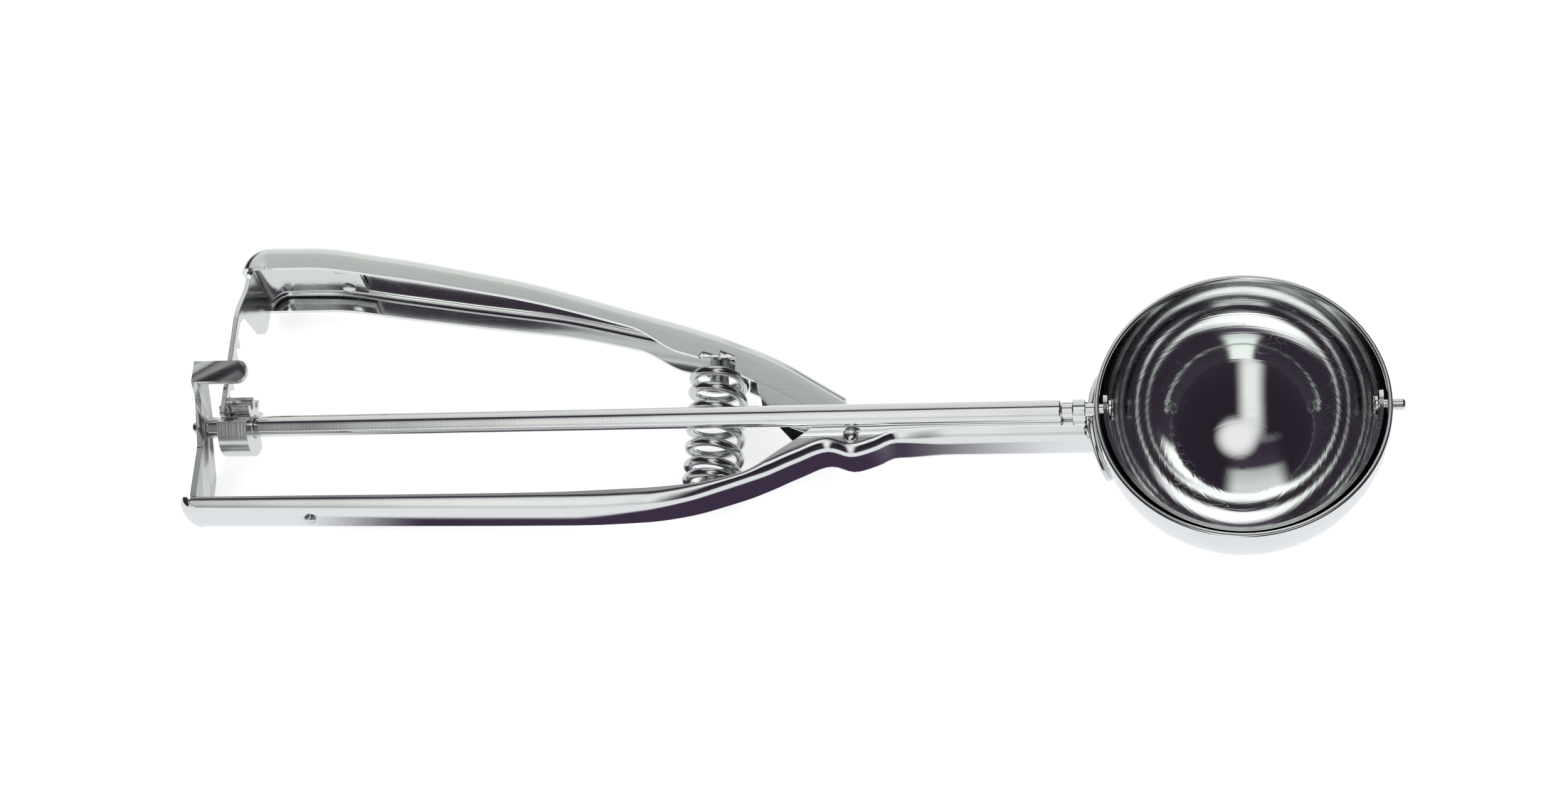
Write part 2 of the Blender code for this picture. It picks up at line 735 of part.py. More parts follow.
def make_spring(parts, pose, material):
    """Make the return spring, one round wire wound about Y, with a closed turn at each end."""
    coil_radius = SPRING_RADIUS - SPRING_WIRE / 2
    start = SPRING_BOTTOM_Y + SPRING_WIRE / 2
    end = SPRING_TOP_Y - SPRING_WIRE / 2
    open_pitch = (end - start - 2 * SPRING_CLOSED_PITCH) / (SPRING_TURNS - 2)
    count = SPRING_TURNS * SPRING_POINTS_PER_TURN
    points = []
    for i in range(count + 1):
        turn = i / SPRING_POINTS_PER_TURN
        closed = min(turn, 1.0) + max(0.0, turn - (SPRING_TURNS - 1))
        y = start + closed * SPRING_CLOSED_PITCH + (turn - closed) * open_pitch
        angle = 2 * math.pi * turn
        x = SPRING_X + coil_radius * math.cos(angle)
        points.append(Vector((x, y, SPRING_Z + coil_radius * math.sin(angle))))
    report_least_gap(points)
    curve = bpy.data.curves.new("return_spring", "CURVE")
    curve.dimensions = "3D"
    curve.bevel_depth = SPRING_WIRE / 2
    curve.bevel_resolution = 1
    curve.use_fill_caps = True
    spline = curve.splines.new("POLY")
    spline.points.add(len(points) - 1)
    for point, place_at in zip(spline.points, points):
        point.co = (*place_at, 1.0)
    spring = place(bpy.data.objects.new("return_spring", curve), parts, pose)
    curve.materials.append(material)
    return spring


def report_least_gap(points):
    """Print the least gap between one turn of the spring's wire and the next."""
    least = math.inf
    for i, point in enumerate(points):
        for other in points[i + SPRING_POINTS_PER_TURN // 2 :]:
            least = min(least, (point - other).length - SPRING_WIRE)
    print(f"return_spring least gap to itself: {least / MM:.2f} mm")


def make_post(name, web_y, half_height, side, reach_y, group, parent, material):
    """Make the cup that stands inside the end of the spring, as wide as its channel lets it be."""
    radius = half_height(SPRING_X) - SHEET - abs(SPRING_Z - NECK_Z) - GAP
    webs = [web_y(SPRING_X + shift) for shift in (-radius, radius)]
    seat_y = max(side * web for web in webs) * side + side * (SHEET + 3 * GAP)
    height = abs(reach_y - seat_y)
    direction = 1.0 if reach_y > seat_y else -1.0
    hollow = radius - POST_WALL
    profile = [
        (0.0, POST_WALL),
        (hollow, POST_WALL),
        (hollow, height),
        (radius, height),
        (radius, 0.0),
        (0.0, 0.0),
    ]
    turn = Matrix.Rotation(math.radians(-90.0 * direction), 4, "X")
    matrix = Matrix.Translation((SPRING_X, seat_y, SPRING_Z)) @ turn
    return finish(turned(name, profile, matrix, group, parent, 20), material)


def make_shaft(parts, shaft, material):
    """Make the long shaft with a peened nub behind the bracket and a head inside the bowl."""
    journal = FRONT_JOURNAL_RADIUS
    head_radius = journal + HEAD_FLANGE
    head_x = -(math.sqrt(BLADE_INSIDE**2 - head_radius**2) - GAP)
    shoulder = BUSH_REAR_X - BUSH_TO_SHOULDER
    rear_shoulder = BRACKET_FRONT_X + GAP
    nub_front = BRACKET_REAR_X - GAP
    profile = [
        (0.0, head_x + HEAD_THICKNESS),
        (head_radius * 0.7, head_x + HEAD_THICKNESS),
        (head_radius, head_x + HEAD_THICKNESS * 0.5),
        (head_radius, head_x),
        (journal, head_x),
        (journal, shoulder),
        (SHAFT_RADIUS - SHAFT_CHAMFER, shoulder),
        (SHAFT_RADIUS, shoulder - SHAFT_CHAMFER),
        (SHAFT_RADIUS, rear_shoulder + SHAFT_CHAMFER),
        (SHAFT_RADIUS - SHAFT_CHAMFER, rear_shoulder),
        (REAR_JOURNAL_RADIUS, rear_shoulder),
        (REAR_JOURNAL_RADIUS, nub_front),
        (REAR_NUB_RADIUS, nub_front),
        (REAR_NUB_RADIUS, nub_front - REAR_NUB_LENGTH * 0.5),
        (REAR_NUB_RADIUS * 0.7, nub_front - REAR_NUB_LENGTH * 0.85),
        (0.0, nub_front - REAR_NUB_LENGTH),
    ]
    return finish(turned("shaft", profile, along_x(), parts, shaft), material)


def make_bush(parts, pose, material):
    """Make the short bearing bush that stands on the saddle and carries the shaft's front journal."""
    bore = FRONT_JOURNAL_RADIUS + SLIP
    outer = bore + BUSH_WALL
    chamfer = BUSH_WALL * 0.5
    profile = [
        (bore, BUSH_FRONT_X),
        (outer - chamfer, BUSH_FRONT_X),
        (outer, BUSH_FRONT_X - chamfer),
        (outer, BUSH_REAR_X + chamfer),
        (outer - chamfer, BUSH_REAR_X),
        (bore, BUSH_REAR_X),
        (bore, BUSH_FRONT_X),
    ]
    return finish(turned("front_bush", profile, along_x(), parts, pose), material)


def make_front_pin(parts, shaft, material):
    """Make the pin that carries the blade's front ear in the far wall of the bowl."""
    radius = FRONT_PIN_RADIUS
    head_radius = radius + HEAD_FLANGE
    head_x = math.sqrt(BLADE_INSIDE**2 - head_radius**2) - GAP
    tip = BOWL_RADIUS + FRONT_PIN_REACH
    profile = [
        (0.0, tip),
        (radius * 0.6, tip - radius * 0.15),
        (radius, tip - radius * 0.6),
        (radius, head_x),
        (head_radius, head_x),
        (head_radius, head_x - HEAD_THICKNESS * 0.5),
        (head_radius * 0.7, head_x - HEAD_THICKNESS),
        (0.0, head_x - HEAD_THICKNESS),
    ]
    return finish(turned("front_pin", profile, along_x(), parts, shaft), material)


def make_blade(parts, cutters, shaft, material):
    """Make the sweeper: a curved strip from pole to pole with a round ear at each end."""
    dip = math.radians(BLADE_REST_DIP)
    down = Vector((0.0, -math.cos(dip), -math.sin(dip)))
    across = Vector((0.0, -math.sin(dip), math.cos(dip)))
    along = Vector((1.0, 0.0, 0.0))
    past_pole = EAR_RADIUS / BLADE_OUTSIDE
    steps = 40
    ear_steps = 5
    stations = []
    for i in range(ear_steps):
        stations.append(-math.pi / 2 - past_pole * math.cos(math.pi / 2 * i / ear_steps) * 0.999)
    stations += [-math.pi / 2 + math.pi * i / steps for i in range(steps + 1)]
    stations += [-angle for angle in reversed(stations[:ear_steps])]
    rows = []
    for angle in stations:
        beyond = (abs(angle) - math.pi / 2) * BLADE_OUTSIDE
        if beyond > 0.0:
            half_width = math.sqrt(max(EAR_RADIUS**2 - beyond**2, (0.05 * EAR_RADIUS) ** 2))
        else:
            half_width = EAR_RADIUS + (BLADE_WIDTH / 2 - EAR_RADIUS) * math.cos(angle) ** 0.7
        row = []
        for j in range(-3, 4):
            offset = half_width * j / 3 / BLADE_OUTSIDE
            lengthwise = down * math.cos(angle) + along * math.sin(angle)
            row.append((lengthwise * math.cos(offset) + across * math.sin(offset)) * BLADE_OUTSIDE)
        rows.append(row)
    blade = grid_object("sweeper_blade", rows, parts, shaft, flip=True)
    thicken(blade, BLADE_THICKNESS, -1.0)
    reach = BOWL_RADIUS
    rear = cylinder("blade_rear_hole", FRONT_JOURNAL_RADIUS + SLIP, (-reach, 0, 0), (0, 0, 0), cutters, shaft)
    front = cylinder("blade_front_hole", FRONT_PIN_RADIUS + SLIP, (0, 0, 0), (reach, 0, 0), cutters, shaft)
    combine(blade, rear, "DIFFERENCE")
    combine(blade, front, "DIFFERENCE")
    return finish(blade, material)


def involute(radius, base):
    """Return the involute angle at this radius."""
    ratio = min(1.0, base / radius)
    pressure = math.acos(ratio)
    return math.tan(pressure) - pressure


def pinion_outline():
    """Return the outline of the pinion in (Y, Z): teeth where the rack comes, smooth elsewhere."""
    base = PINION_RADIUS * math.cos(math.radians(PRESSURE_ANGLE))
    pitch_angle = 2 * math.pi / PINION_TEETH
    half_tooth = (math.pi * MODULE / 2 - BACKLASH / 2) / PINION_RADIUS / 2
    smooth_middle = math.radians(180.0 + BLADE_REST_DIP)
    half_smooth = math.radians(PINION_SMOOTH_ARC) / 2
    flank = []
    for radius in (PINION_TIP, (PINION_RADIUS + PINION_TIP) / 2, PINION_RADIUS, max(base, PINION_ROOT)):
        tooth = half_tooth + involute(PINION_RADIUS, base) - involute(radius, base)
        flank.append((radius, pitch_angle / 2 - tooth))
    flank.append((PINION_ROOT, flank[-1][1] * 0.9))
    outline = []
    for i in range(PINION_TEETH):
        gap = math.pi / 2 + pitch_angle * i
        away = abs((gap - smooth_middle + math.pi) % (2 * math.pi) - math.pi)
        if away < half_smooth:
            outline += [(PINION_TIP, gap + pitch_angle * step / 4) for step in range(-2, 2)]
        else:
            outline += [(radius, gap - angle) for radius, angle in flank]
            outline += [(radius, gap + angle) for radius, angle in reversed(flank)]
    return [(radius * math.cos(angle), radius * math.sin(angle)) for radius, angle in outline]


def make_pinion(parts, cutters, shaft, material):
    """Make the pinion on the rear of the shaft."""
    middle = (PINION_REAR_X + PINION_FRONT_X) / 2
    pinion = plate("pinion", pinion_outline(), PINION_LENGTH, yz_plane(middle), parts, shaft)
    bore = cylinder(
        "pinion_bore",
        SHAFT_RADIUS + GAP,
        (PINION_REAR_X - PINION_LENGTH, 0, 0),
        (PINION_FRONT_X + PINION_LENGTH, 0, 0),
        cutters,
        shaft,
    )
    combine(pinion, bore, "DIFFERENCE")
    return finish(pinion, material)


def rack_teeth():
    """Return (y, z) points along the toothed edge, from the foot to the tip."""
    pitch = math.pi * MODULE
    slope = math.tan(math.radians(PRESSURE_ANGLE))
    half_tip = (pitch / 2 - BACKLASH / 2) / 2 - (PINION_RADIUS - RACK_TIP_Z) * slope
    half_root = half_tip + (RACK_ROOT_Z - RACK_TIP_Z) * slope
    travel = RACK_RADIUS * math.tan(math.radians(handle_squeeze()))
    count = math.ceil((travel + pitch - RACK_TIP_Y) / pitch)
    points = []
    for tooth in reversed(range(count)):
        centre = pitch * tooth
        if centre - half_root < RACK_TIP_Y - half_root:
            continue
        points += [(centre + half_root, RACK_ROOT_Z), (centre + half_tip, RACK_TIP_Z)]
        points += [(centre - half_tip, RACK_TIP_Z), (centre - half_root, RACK_ROOT_Z)]
    return [point for point in points if point[0] > RACK_TIP_Y] + [(RACK_TIP_Y, RACK_ROOT_Z)]


def squeeze_ratio():
    """Return how many degrees the shaft turns for one degree of the handle.

    The rack swings past the pinion on a slant, so it gains a little on its reach at rest.
    """
    return RACK_RADIUS / PINION_RADIUS * RACK_SWING_GAIN


def handle_squeeze():
    """Return how far the moving handle closes, in degrees."""
    return BLADE_TURN / squeeze_ratio()


def rack_low_edge():
    """Return (y, z) points of the rack's low edge, from the foot down to the tip."""
    travel = RACK_RADIUS * math.tan(math.radians(handle_squeeze()))
    teeth = rack_teeth()
    relief = PINION_TIP + 3 * GAP
    foot_z = channel_mid(RACK_X) - RACK_FOOT_WIDTH / 2
    centre_y = max(travel, teeth[0][0])
    points = [(rack_foot_y(RACK_X) - RACK_BEND_RADIUS, foot_z), (centre_y + relief + 4.5 * MM, foot_z)]
    points.append((centre_y + relief + 2.5 * MM, foot_z + 1.0 * MM))
    points.append((centre_y + relief + 1.0 * MM, foot_z + 3.4 * MM))
    for step in range(6):
        angle = math.radians(NOTCH_START + (90.0 - NOTCH_START) * step / 5)
        z = relief * math.sin(angle)
        if z < RACK_ROOT_Z:
            points.append((centre_y + relief * math.cos(angle), z))
    return [point for point in points if point[0] > teeth[0][0] + 0.05 * MM] + teeth


def rack_foot_y(x):
    """Return Y of the middle of the rack's foot, which lies along the inside of the web."""
    return moving_web(x) - SHEET - GAP - RACK_THICKNESS / 2


def rack_surface():
    """Return the rows of the rack's middle surface, from the end of the foot to the tip."""
    low = rack_low_edge()
    low_z = low[0][1]
    inside_top = channel_mid(RACK_X) + moving_half_height(RACK_X) - SHEET - 2 * GAP
    emerging = (MOVING_WEB_Y - MOVING_CURL_RADIUS - GAP, inside_top)
    high_knots = [(RACK_TIP_Y, RACK_TOP_Z), (low[1][0] - 8.0 * MM, RACK_TOP_Z)]
    high_knots += [emerging, (low[0][0], inside_top)]
    foot_high = low_z + RACK_FOOT_WIDTH
    bend_x = RACK_X + RACK_BEND_RADIUS
    bend_y = rack_foot_y(bend_x) - RACK_BEND_RADIUS
    foot_end = RACK_X + RACK_FOOT_LENGTH
    rows = []
    for step in range(6):
        x = foot_end + (bend_x - foot_end) * step / 5
        rows.append((x, rack_foot_y(x), low_z, foot_high))
    for step in range(1, 5):
        angle = math.pi / 2 * step / 5
        x = bend_x - RACK_BEND_RADIUS * math.sin(angle)
        y = bend_y + RACK_BEND_RADIUS * math.cos(angle)
        rows.append((x, y, low_z, foot_high + (inside_top - foot_high) * step / 5))
    rows.append((RACK_X, bend_y, low_z, inside_top))
    rows += [(RACK_X, y, z, smooth(high_knots, y)) for y, z in low if y < bend_y - 0.01 * MM]
    return [[Vector((x, y, z)), Vector((x, y, top))] for x, y, z, top in rows]


def make_rack(parts, cutters, pivot, material):
    """Make the rack: one bent strap, its foot in the moving handle and its teeth over the pinion."""
    rack = thicken(grid_object("rack", rack_surface(), parts, pivot), RACK_THICKNESS, 0.0)
    middle_y = rack_foot_y(RACK_RIVET_X)
    for name, z in rack_rivet_places():
        hole = cylinder(
            name + "_foot_hole",
            RIVET_RADIUS + SLIP,
            (RACK_RIVET_X, middle_y - 2 * SHEET, z),
            (RACK_RIVET_X, middle_y + 2 * SHEET, z),
            cutters,
            pivot,
        )
        combine(rack, hole, "DIFFERENCE")
    return finish(rack, material)


def bracket_foot_mid():
    """Return the height of the middle of the bracket's foot, halfway along its leg."""
    return channel_mid(BRACKET_REAR_X + BRACKET_FOOT_LENGTH / 2)


def bracket_rivet_z():
    """Return the height of the rivet that holds the bracket's foot in the fixed handle."""
    return channel_mid(BRACKET_RIVET_X) + BRACKET_RIVET_LIFT


def bracket_outline():
    """Return the outline of the bracket's plate in (Y, Z)."""
    mid = bracket_foot_mid()
    foot_half = FIXED_HEIGHT / 2 - CHANNEL_CORNER
    edge = FIXED_WEB_Y + FIXED_CURL_RADIUS + GAP
    finger_top = RACK_TOP_Z + 2 * GAP + BRACKET_THICKNESS
    finger_end = FINGER_START_Y + FINGER_WIDTH
    lobe = REAR_JOURNAL_RADIUS + SLIP + LOBE_WALL
    corners = [
        (BRACKET_LEG_Y, mid - foot_half, 0.0),
        (edge, mid - foot_half, 0.0),
        (edge, BRACKET_LOW_Z, 0.5 * MM),
        (-2.3 * lobe, BRACKET_LOW_Z, 3.0 * MM),
        (-0.2 * lobe, -1.2 * lobe, 2.0 * MM),
        (1.1 * lobe, -0.6 * lobe, 2.0 * MM),
        (finger_end, finger_end * 0.5, 2.0 * MM),
        (finger_end, finger_top, 0.0),
        (FINGER_START_Y, finger_top, 0.0),
        (1.1 * lobe, 2.0 * lobe, 1.5 * MM),
        (-0.5 * lobe, lobe, 2.0 * MM),
        (-1.5 * lobe, BRACKET_HIGH_Z, 2.0 * MM),
        (edge, BRACKET_HIGH_Z, 0.5 * MM),
        (edge, mid + foot_half, 0.0),
        (BRACKET_LEG_Y, mid + foot_half, 0.0),
    ]
    return rounded(corners)


def make_bracket(parts, cutters, pose, material):
    """Make the rear bracket: a plate with a foot in the fixed handle and a finger over the rack."""
    thickness = BRACKET_THICKNESS
    middle_x = (BRACKET_REAR_X + BRACKET_FRONT_X) / 2
    bracket = plate("rear_bracket", bracket_outline(), thickness, yz_plane(middle_x), parts, pose)
    mid = bracket_foot_mid()
    foot_half = FIXED_HEIGHT / 2 - CHANNEL_CORNER
    leg_end = BRACKET_REAR_X + BRACKET_FOOT_LENGTH
    leg = [
        (BRACKET_REAR_X, BRACKET_LEG_Y, thickness * 0.8),
        (leg_end, BRACKET_LEG_Y, 0.0),
        (leg_end, BRACKET_LEG_Y + thickness, 0.0),
        (BRACKET_FRONT_X, BRACKET_LEG_Y + thickness, 0.0),
        (BRACKET_FRONT_X, BRACKET_LEG_Y + BEND_FILLET * thickness, 0.0),
        (BRACKET_REAR_X, BRACKET_LEG_Y + BEND_FILLET * thickness, 0.0),
    ]
    foot = plate("bracket_leg", rounded(leg), 2 * foot_half, xy_plane(mid), cutters, pose)
    combine(bracket, foot, "UNION")
    finger_bottom = RACK_TOP_Z + 2 * GAP
    finger_middle = FINGER_START_Y + FINGER_WIDTH / 2
    finger_end = BRACKET_REAR_X + FINGER_LENGTH
    finger_outline = [
        (BRACKET_REAR_X, FINGER_START_Y, 0.0),
        (finger_end, FINGER_START_Y, 2.0 * MM),
        (finger_end, FINGER_START_Y + FINGER_WIDTH, 2.0 * MM),
        (BRACKET_REAR_X, FINGER_START_Y + FINGER_WIDTH, 0.0),
    ]
    finger = plate(
        "bracket_finger",
        rounded(finger_outline),
        thickness,
        xy_plane(finger_bottom + thickness / 2),
        cutters,
        pose,
    )
    combine(bracket, finger, "UNION")
    journal_hole = cylinder(
        "bracket_journal_hole",
        REAR_JOURNAL_RADIUS + SLIP,
        (BRACKET_REAR_X - thickness, 0, 0),
        (BRACKET_FRONT_X + thickness, 0, 0),
        cutters,
        pose,
    )
    combine(bracket, journal_hole, "DIFFERENCE")
    rivet_z = bracket_rivet_z()
    rivet_hole = cylinder(
        "bracket_rivet_hole",
        RIVET_RADIUS + SLIP,
        (BRACKET_RIVET_X, BRACKET_LEG_Y - thickness, rivet_z),
        (BRACKET_RIVET_X, BRACKET_LEG_Y + 2 * thickness, rivet_z),
        cutters,
        pose,
    )
    combine(bracket, rivet_hole, "DIFFERENCE")
    return finish(bracket, material)


def empty(name, place_at, parent=None):
    """Return an empty that carries the pieces of one moving body."""
    made = bpy.data.objects.new(name, None)
    made["place"] = tuple(place_at)
    bpy.context.scene.collection.objects.link(made)
    if parent is not None:
        made.parent = parent
        made.location = Vector(place_at) - parent_offset(parent)
    return made


def corners_of(obj, depsgraph):
    """Return the world places of an object's evaluated vertices."""
    evaluated = obj.evaluated_get(depsgraph)
    mesh = evaluated.to_mesh()
    points = np.empty(len(mesh.vertices) * 3)
    mesh.vertices.foreach_get("co", points)
    evaluated.to_mesh_clear()
    matrix = np.array(obj.matrix_world)
    return points.reshape(-1, 3) @ matrix[:3, :3].T + matrix[:3, 3]


def lay_down(pose, parts):
    """Turn the scoop so that it rests on the bowl and both handles' rear ends, origin below its middle."""
    bpy.context.view_layer.update()
    depsgraph = bpy.context.evaluated_depsgraph_get()
    clouds = {obj.name: corners_of(obj, depsgraph) for obj in parts.objects}
    normal = np.array([0.0, 0.0, 1.0])
    for _ in range(6):
        heels = [clouds[name][np.argmin(clouds[name] @ normal)] for name in ("fixed_handle", "moving_handle")]
        normal = tangent_normal(heels[0], heels[1], BOWL_RADIUS)
    turn = Vector(normal).rotation_difference(Vector((0.0, 0.0, 1.0))).to_matrix()
    turned_points = np.vstack(list(clouds.values())) @ np.array(turn).T
    low = turned_points.min(axis=0)
    high = turned_points.max(axis=0)
    middle = (low + high) / 2
    pose.matrix_world = Matrix.Translation((-middle[0], -middle[1], -low[2])) @ turn.to_4x4()


def tangent_normal(first, second, radius):
    """Return the upward normal of the plane through two points that touches a ball about the origin."""
    gram = np.array([[first @ first, first @ second], [first @ second, second @ second]])
    shares = np.linalg.solve(gram, np.array([-radius, -radius]))
    in_plane = shares[0] * first + shares[1] * second
    square = np.cross(first, second)
    square /= np.linalg.norm(square)
    if square[2] < 0.0:
        square = -square
    return in_plane + square * math.sqrt(1.0 - in_plane @ in_plane)


def main():
    """Build the scoop."""
    clear_scene()
    parts = collection(PART_NAME)
    cutters = collection("cutters")
    pose = empty(POSE_NAME, (0.0, 0.0, 0.0))
    pivot = empty("handle_pivot", PIVOT, pose)
    shaft = empty("shaft_axis", (0.0, 0.0, 0.0), pose)

    make_bowl(parts, cutters, pose, metal("bowl_steel", (0.78, 0.79, 0.78), 0.12))
    make_saddle(parts, cutters, pose, metal("saddle_steel", (0.70, 0.72, 0.71), 0.18))
    make_bush(parts, pose, metal("bush_steel", (0.74, 0.76, 0.74), 0.15))
    make_fixed_handle(parts, cutters, pose, metal("fixed_handle_steel", (0.74, 0.76, 0.75), 0.14))
    make_bracket(parts, cutters, pose, metal("bracket_steel", (0.66, 0.68, 0.66), 0.2))
    make_pivot_rivet(parts, pose, metal("pivot_steel", (0.70, 0.71, 0.70), 0.2))
    make_spring(parts, pose, metal("spring_steel", (0.60, 0.62, 0.60), 0.22))
    make_moving_handle(parts, cutters, pivot, metal("moving_handle_steel", (0.76, 0.78, 0.76), 0.14))
    make_rack(parts, cutters, pivot, metal("rack_steel", (0.68, 0.70, 0.68), 0.2))
    make_shaft(parts, shaft, metal("shaft_steel", (0.76, 0.77, 0.76), 0.1))
    make_pinion(parts, cutters, shaft, metal("pinion_steel", (0.66, 0.67, 0.66), 0.18))
    make_blade(parts, cutters, shaft, metal("blade_steel", (0.76, 0.78, 0.77), 0.14))
    make_front_pin(parts, shaft, metal("front_pin_steel", (0.72, 0.74, 0.72), 0.18))

    rivet_steel = metal("rivet_steel", (0.70, 0.71, 0.70), 0.25)
    rivet(
        "bracket_rivet",
        BRACKET_RIVET_X,
        bracket_rivet_z(),
        FIXED_WEB_Y,
        BRACKET_LEG_Y + BRACKET_THICKNESS,
        parts,
        pose,
        rivet_steel,
    )
    for name, z in rack_rivet_places():
        outside = moving_web(RACK_RIVET_X)
        inside = rack_foot_y(RACK_RIVET_X) - RACK_THICKNESS / 2
        rivet(name, RACK_RIVET_X, z, outside, inside, parts, pivot, rivet_steel)

    post_steel = metal("post_steel", (0.62, 0.64, 0.62), 0.25)
    low_reach = SPRING_BOTTOM_Y + POST_REACH
    high_reach = SPRING_TOP_Y - POST_REACH
    make_post("spring_post_fixed", fixed_web, fixed_half_height, 1, low_reach, parts, pose, post_steel)
    make_post("spring_post_moving", moving_web, moving_half_height, -1, high_reach, parts, pivot, post_steel)
    lay_down(pose, parts)


main()
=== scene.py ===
"""Squeeze-handle ice cream scoop, dressed on its frame.

Every piece is drawn in millimetres in the scoop's own frame: the origin is the centre of the bowl,
+X runs along the shaft from the handles to the bowl, +Y points to the moving handle and +Z points
out of the bowl. Lay turns that frame into the frame's metres, as the scoop lies on the table.
"""

import json
import logging
import math
from dataclasses import dataclass, field
from enum import Enum
from typing import Callable, Optional, Sequence

import bmesh
import bpy
import numpy as np
from mathutils import Matrix, Vector

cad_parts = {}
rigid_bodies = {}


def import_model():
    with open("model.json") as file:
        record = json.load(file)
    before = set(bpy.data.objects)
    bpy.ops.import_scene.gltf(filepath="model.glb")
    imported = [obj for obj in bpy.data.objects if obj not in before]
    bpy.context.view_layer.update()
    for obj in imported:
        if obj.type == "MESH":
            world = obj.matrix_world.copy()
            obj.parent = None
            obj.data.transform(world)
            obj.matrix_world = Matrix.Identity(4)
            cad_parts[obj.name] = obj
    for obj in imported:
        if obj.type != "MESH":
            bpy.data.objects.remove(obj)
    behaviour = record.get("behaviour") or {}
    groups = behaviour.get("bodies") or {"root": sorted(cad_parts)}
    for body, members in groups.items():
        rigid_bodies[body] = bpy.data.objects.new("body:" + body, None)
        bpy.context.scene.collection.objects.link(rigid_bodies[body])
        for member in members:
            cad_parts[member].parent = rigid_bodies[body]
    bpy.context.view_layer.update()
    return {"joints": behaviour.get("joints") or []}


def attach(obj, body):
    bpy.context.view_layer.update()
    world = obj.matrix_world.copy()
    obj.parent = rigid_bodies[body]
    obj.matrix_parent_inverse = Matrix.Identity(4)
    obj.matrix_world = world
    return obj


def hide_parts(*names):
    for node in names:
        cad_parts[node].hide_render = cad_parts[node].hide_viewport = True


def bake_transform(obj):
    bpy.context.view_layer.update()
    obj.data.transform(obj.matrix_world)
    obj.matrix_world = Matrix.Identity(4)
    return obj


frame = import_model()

LOG = logging.getLogger("scoop")
MM = 0.001

Point2 = tuple[float, float]
Knots = Sequence[Point2]
Curve = Callable[[float], float]
Triple = tuple[float, float, float]
Colour = Triple
Stop = tuple[float, Colour]

# Lengths in millimetres below which two points count as one, and a radius as a pole.
MERGED = 1e-4
POLE = 1e-6
# How far the rack's outline keeps from its first tooth and from its bend.
CLEAR_OF_TEETH = 0.05
CLEAR_OF_BEND = 0.01
# How full a peened head is: 1 would be an ellipse.
HEAD_FULLNESS = 0.8
WHITE = (1.0, 1.0, 1.0, 1.0)


class Body(Enum):
    """The bodies that the pieces ride on."""

    FRAME = "frame"
    HANDLE = "squeeze_handle"
    SWEEPER = "sweeper"


class Grain(Enum):
    """Which way the polishing lines of a finish run."""

    RINGS = "rings round the bowl's own axis"
    TURNED = "rings round the shaft"
    LENGTHWISE = "lines along the shaft"
    PRESSED = "no lines, a pressed and tumbled skin"


# Where the scoop lies.
class Lay:
    """The scoop's own frame, read from the two joints."""

    def __init__(self) -> None:
        """Read the origin and the three directions from the record's joints."""
        joints = {joint["name"]: joint for joint in frame["joints"]}
        turn, squeeze = joints["sweeper_turn"], joints["handle_squeeze"]
        along = Vector(turn["axis"]).normalized()
        up = Vector(squeeze["axis"]).normalized()
        side = up.cross(along).normalized()
        up = along.cross(side).normalized()
        self.origin = Vector(turn["pos_m"])
        self.turn = Matrix((along, side, up)).transposed()
        self.matrix = Matrix.Translation(self.origin) @ self.turn.to_4x4() @ Matrix.Scale(MM, 4)

    def point(self, x: float, y: float, z: float) -> Vector:
        """Return the place in metres of a point of the scoop's own frame."""
        return self.matrix @ Vector((x, y, z))


LAY = Lay()


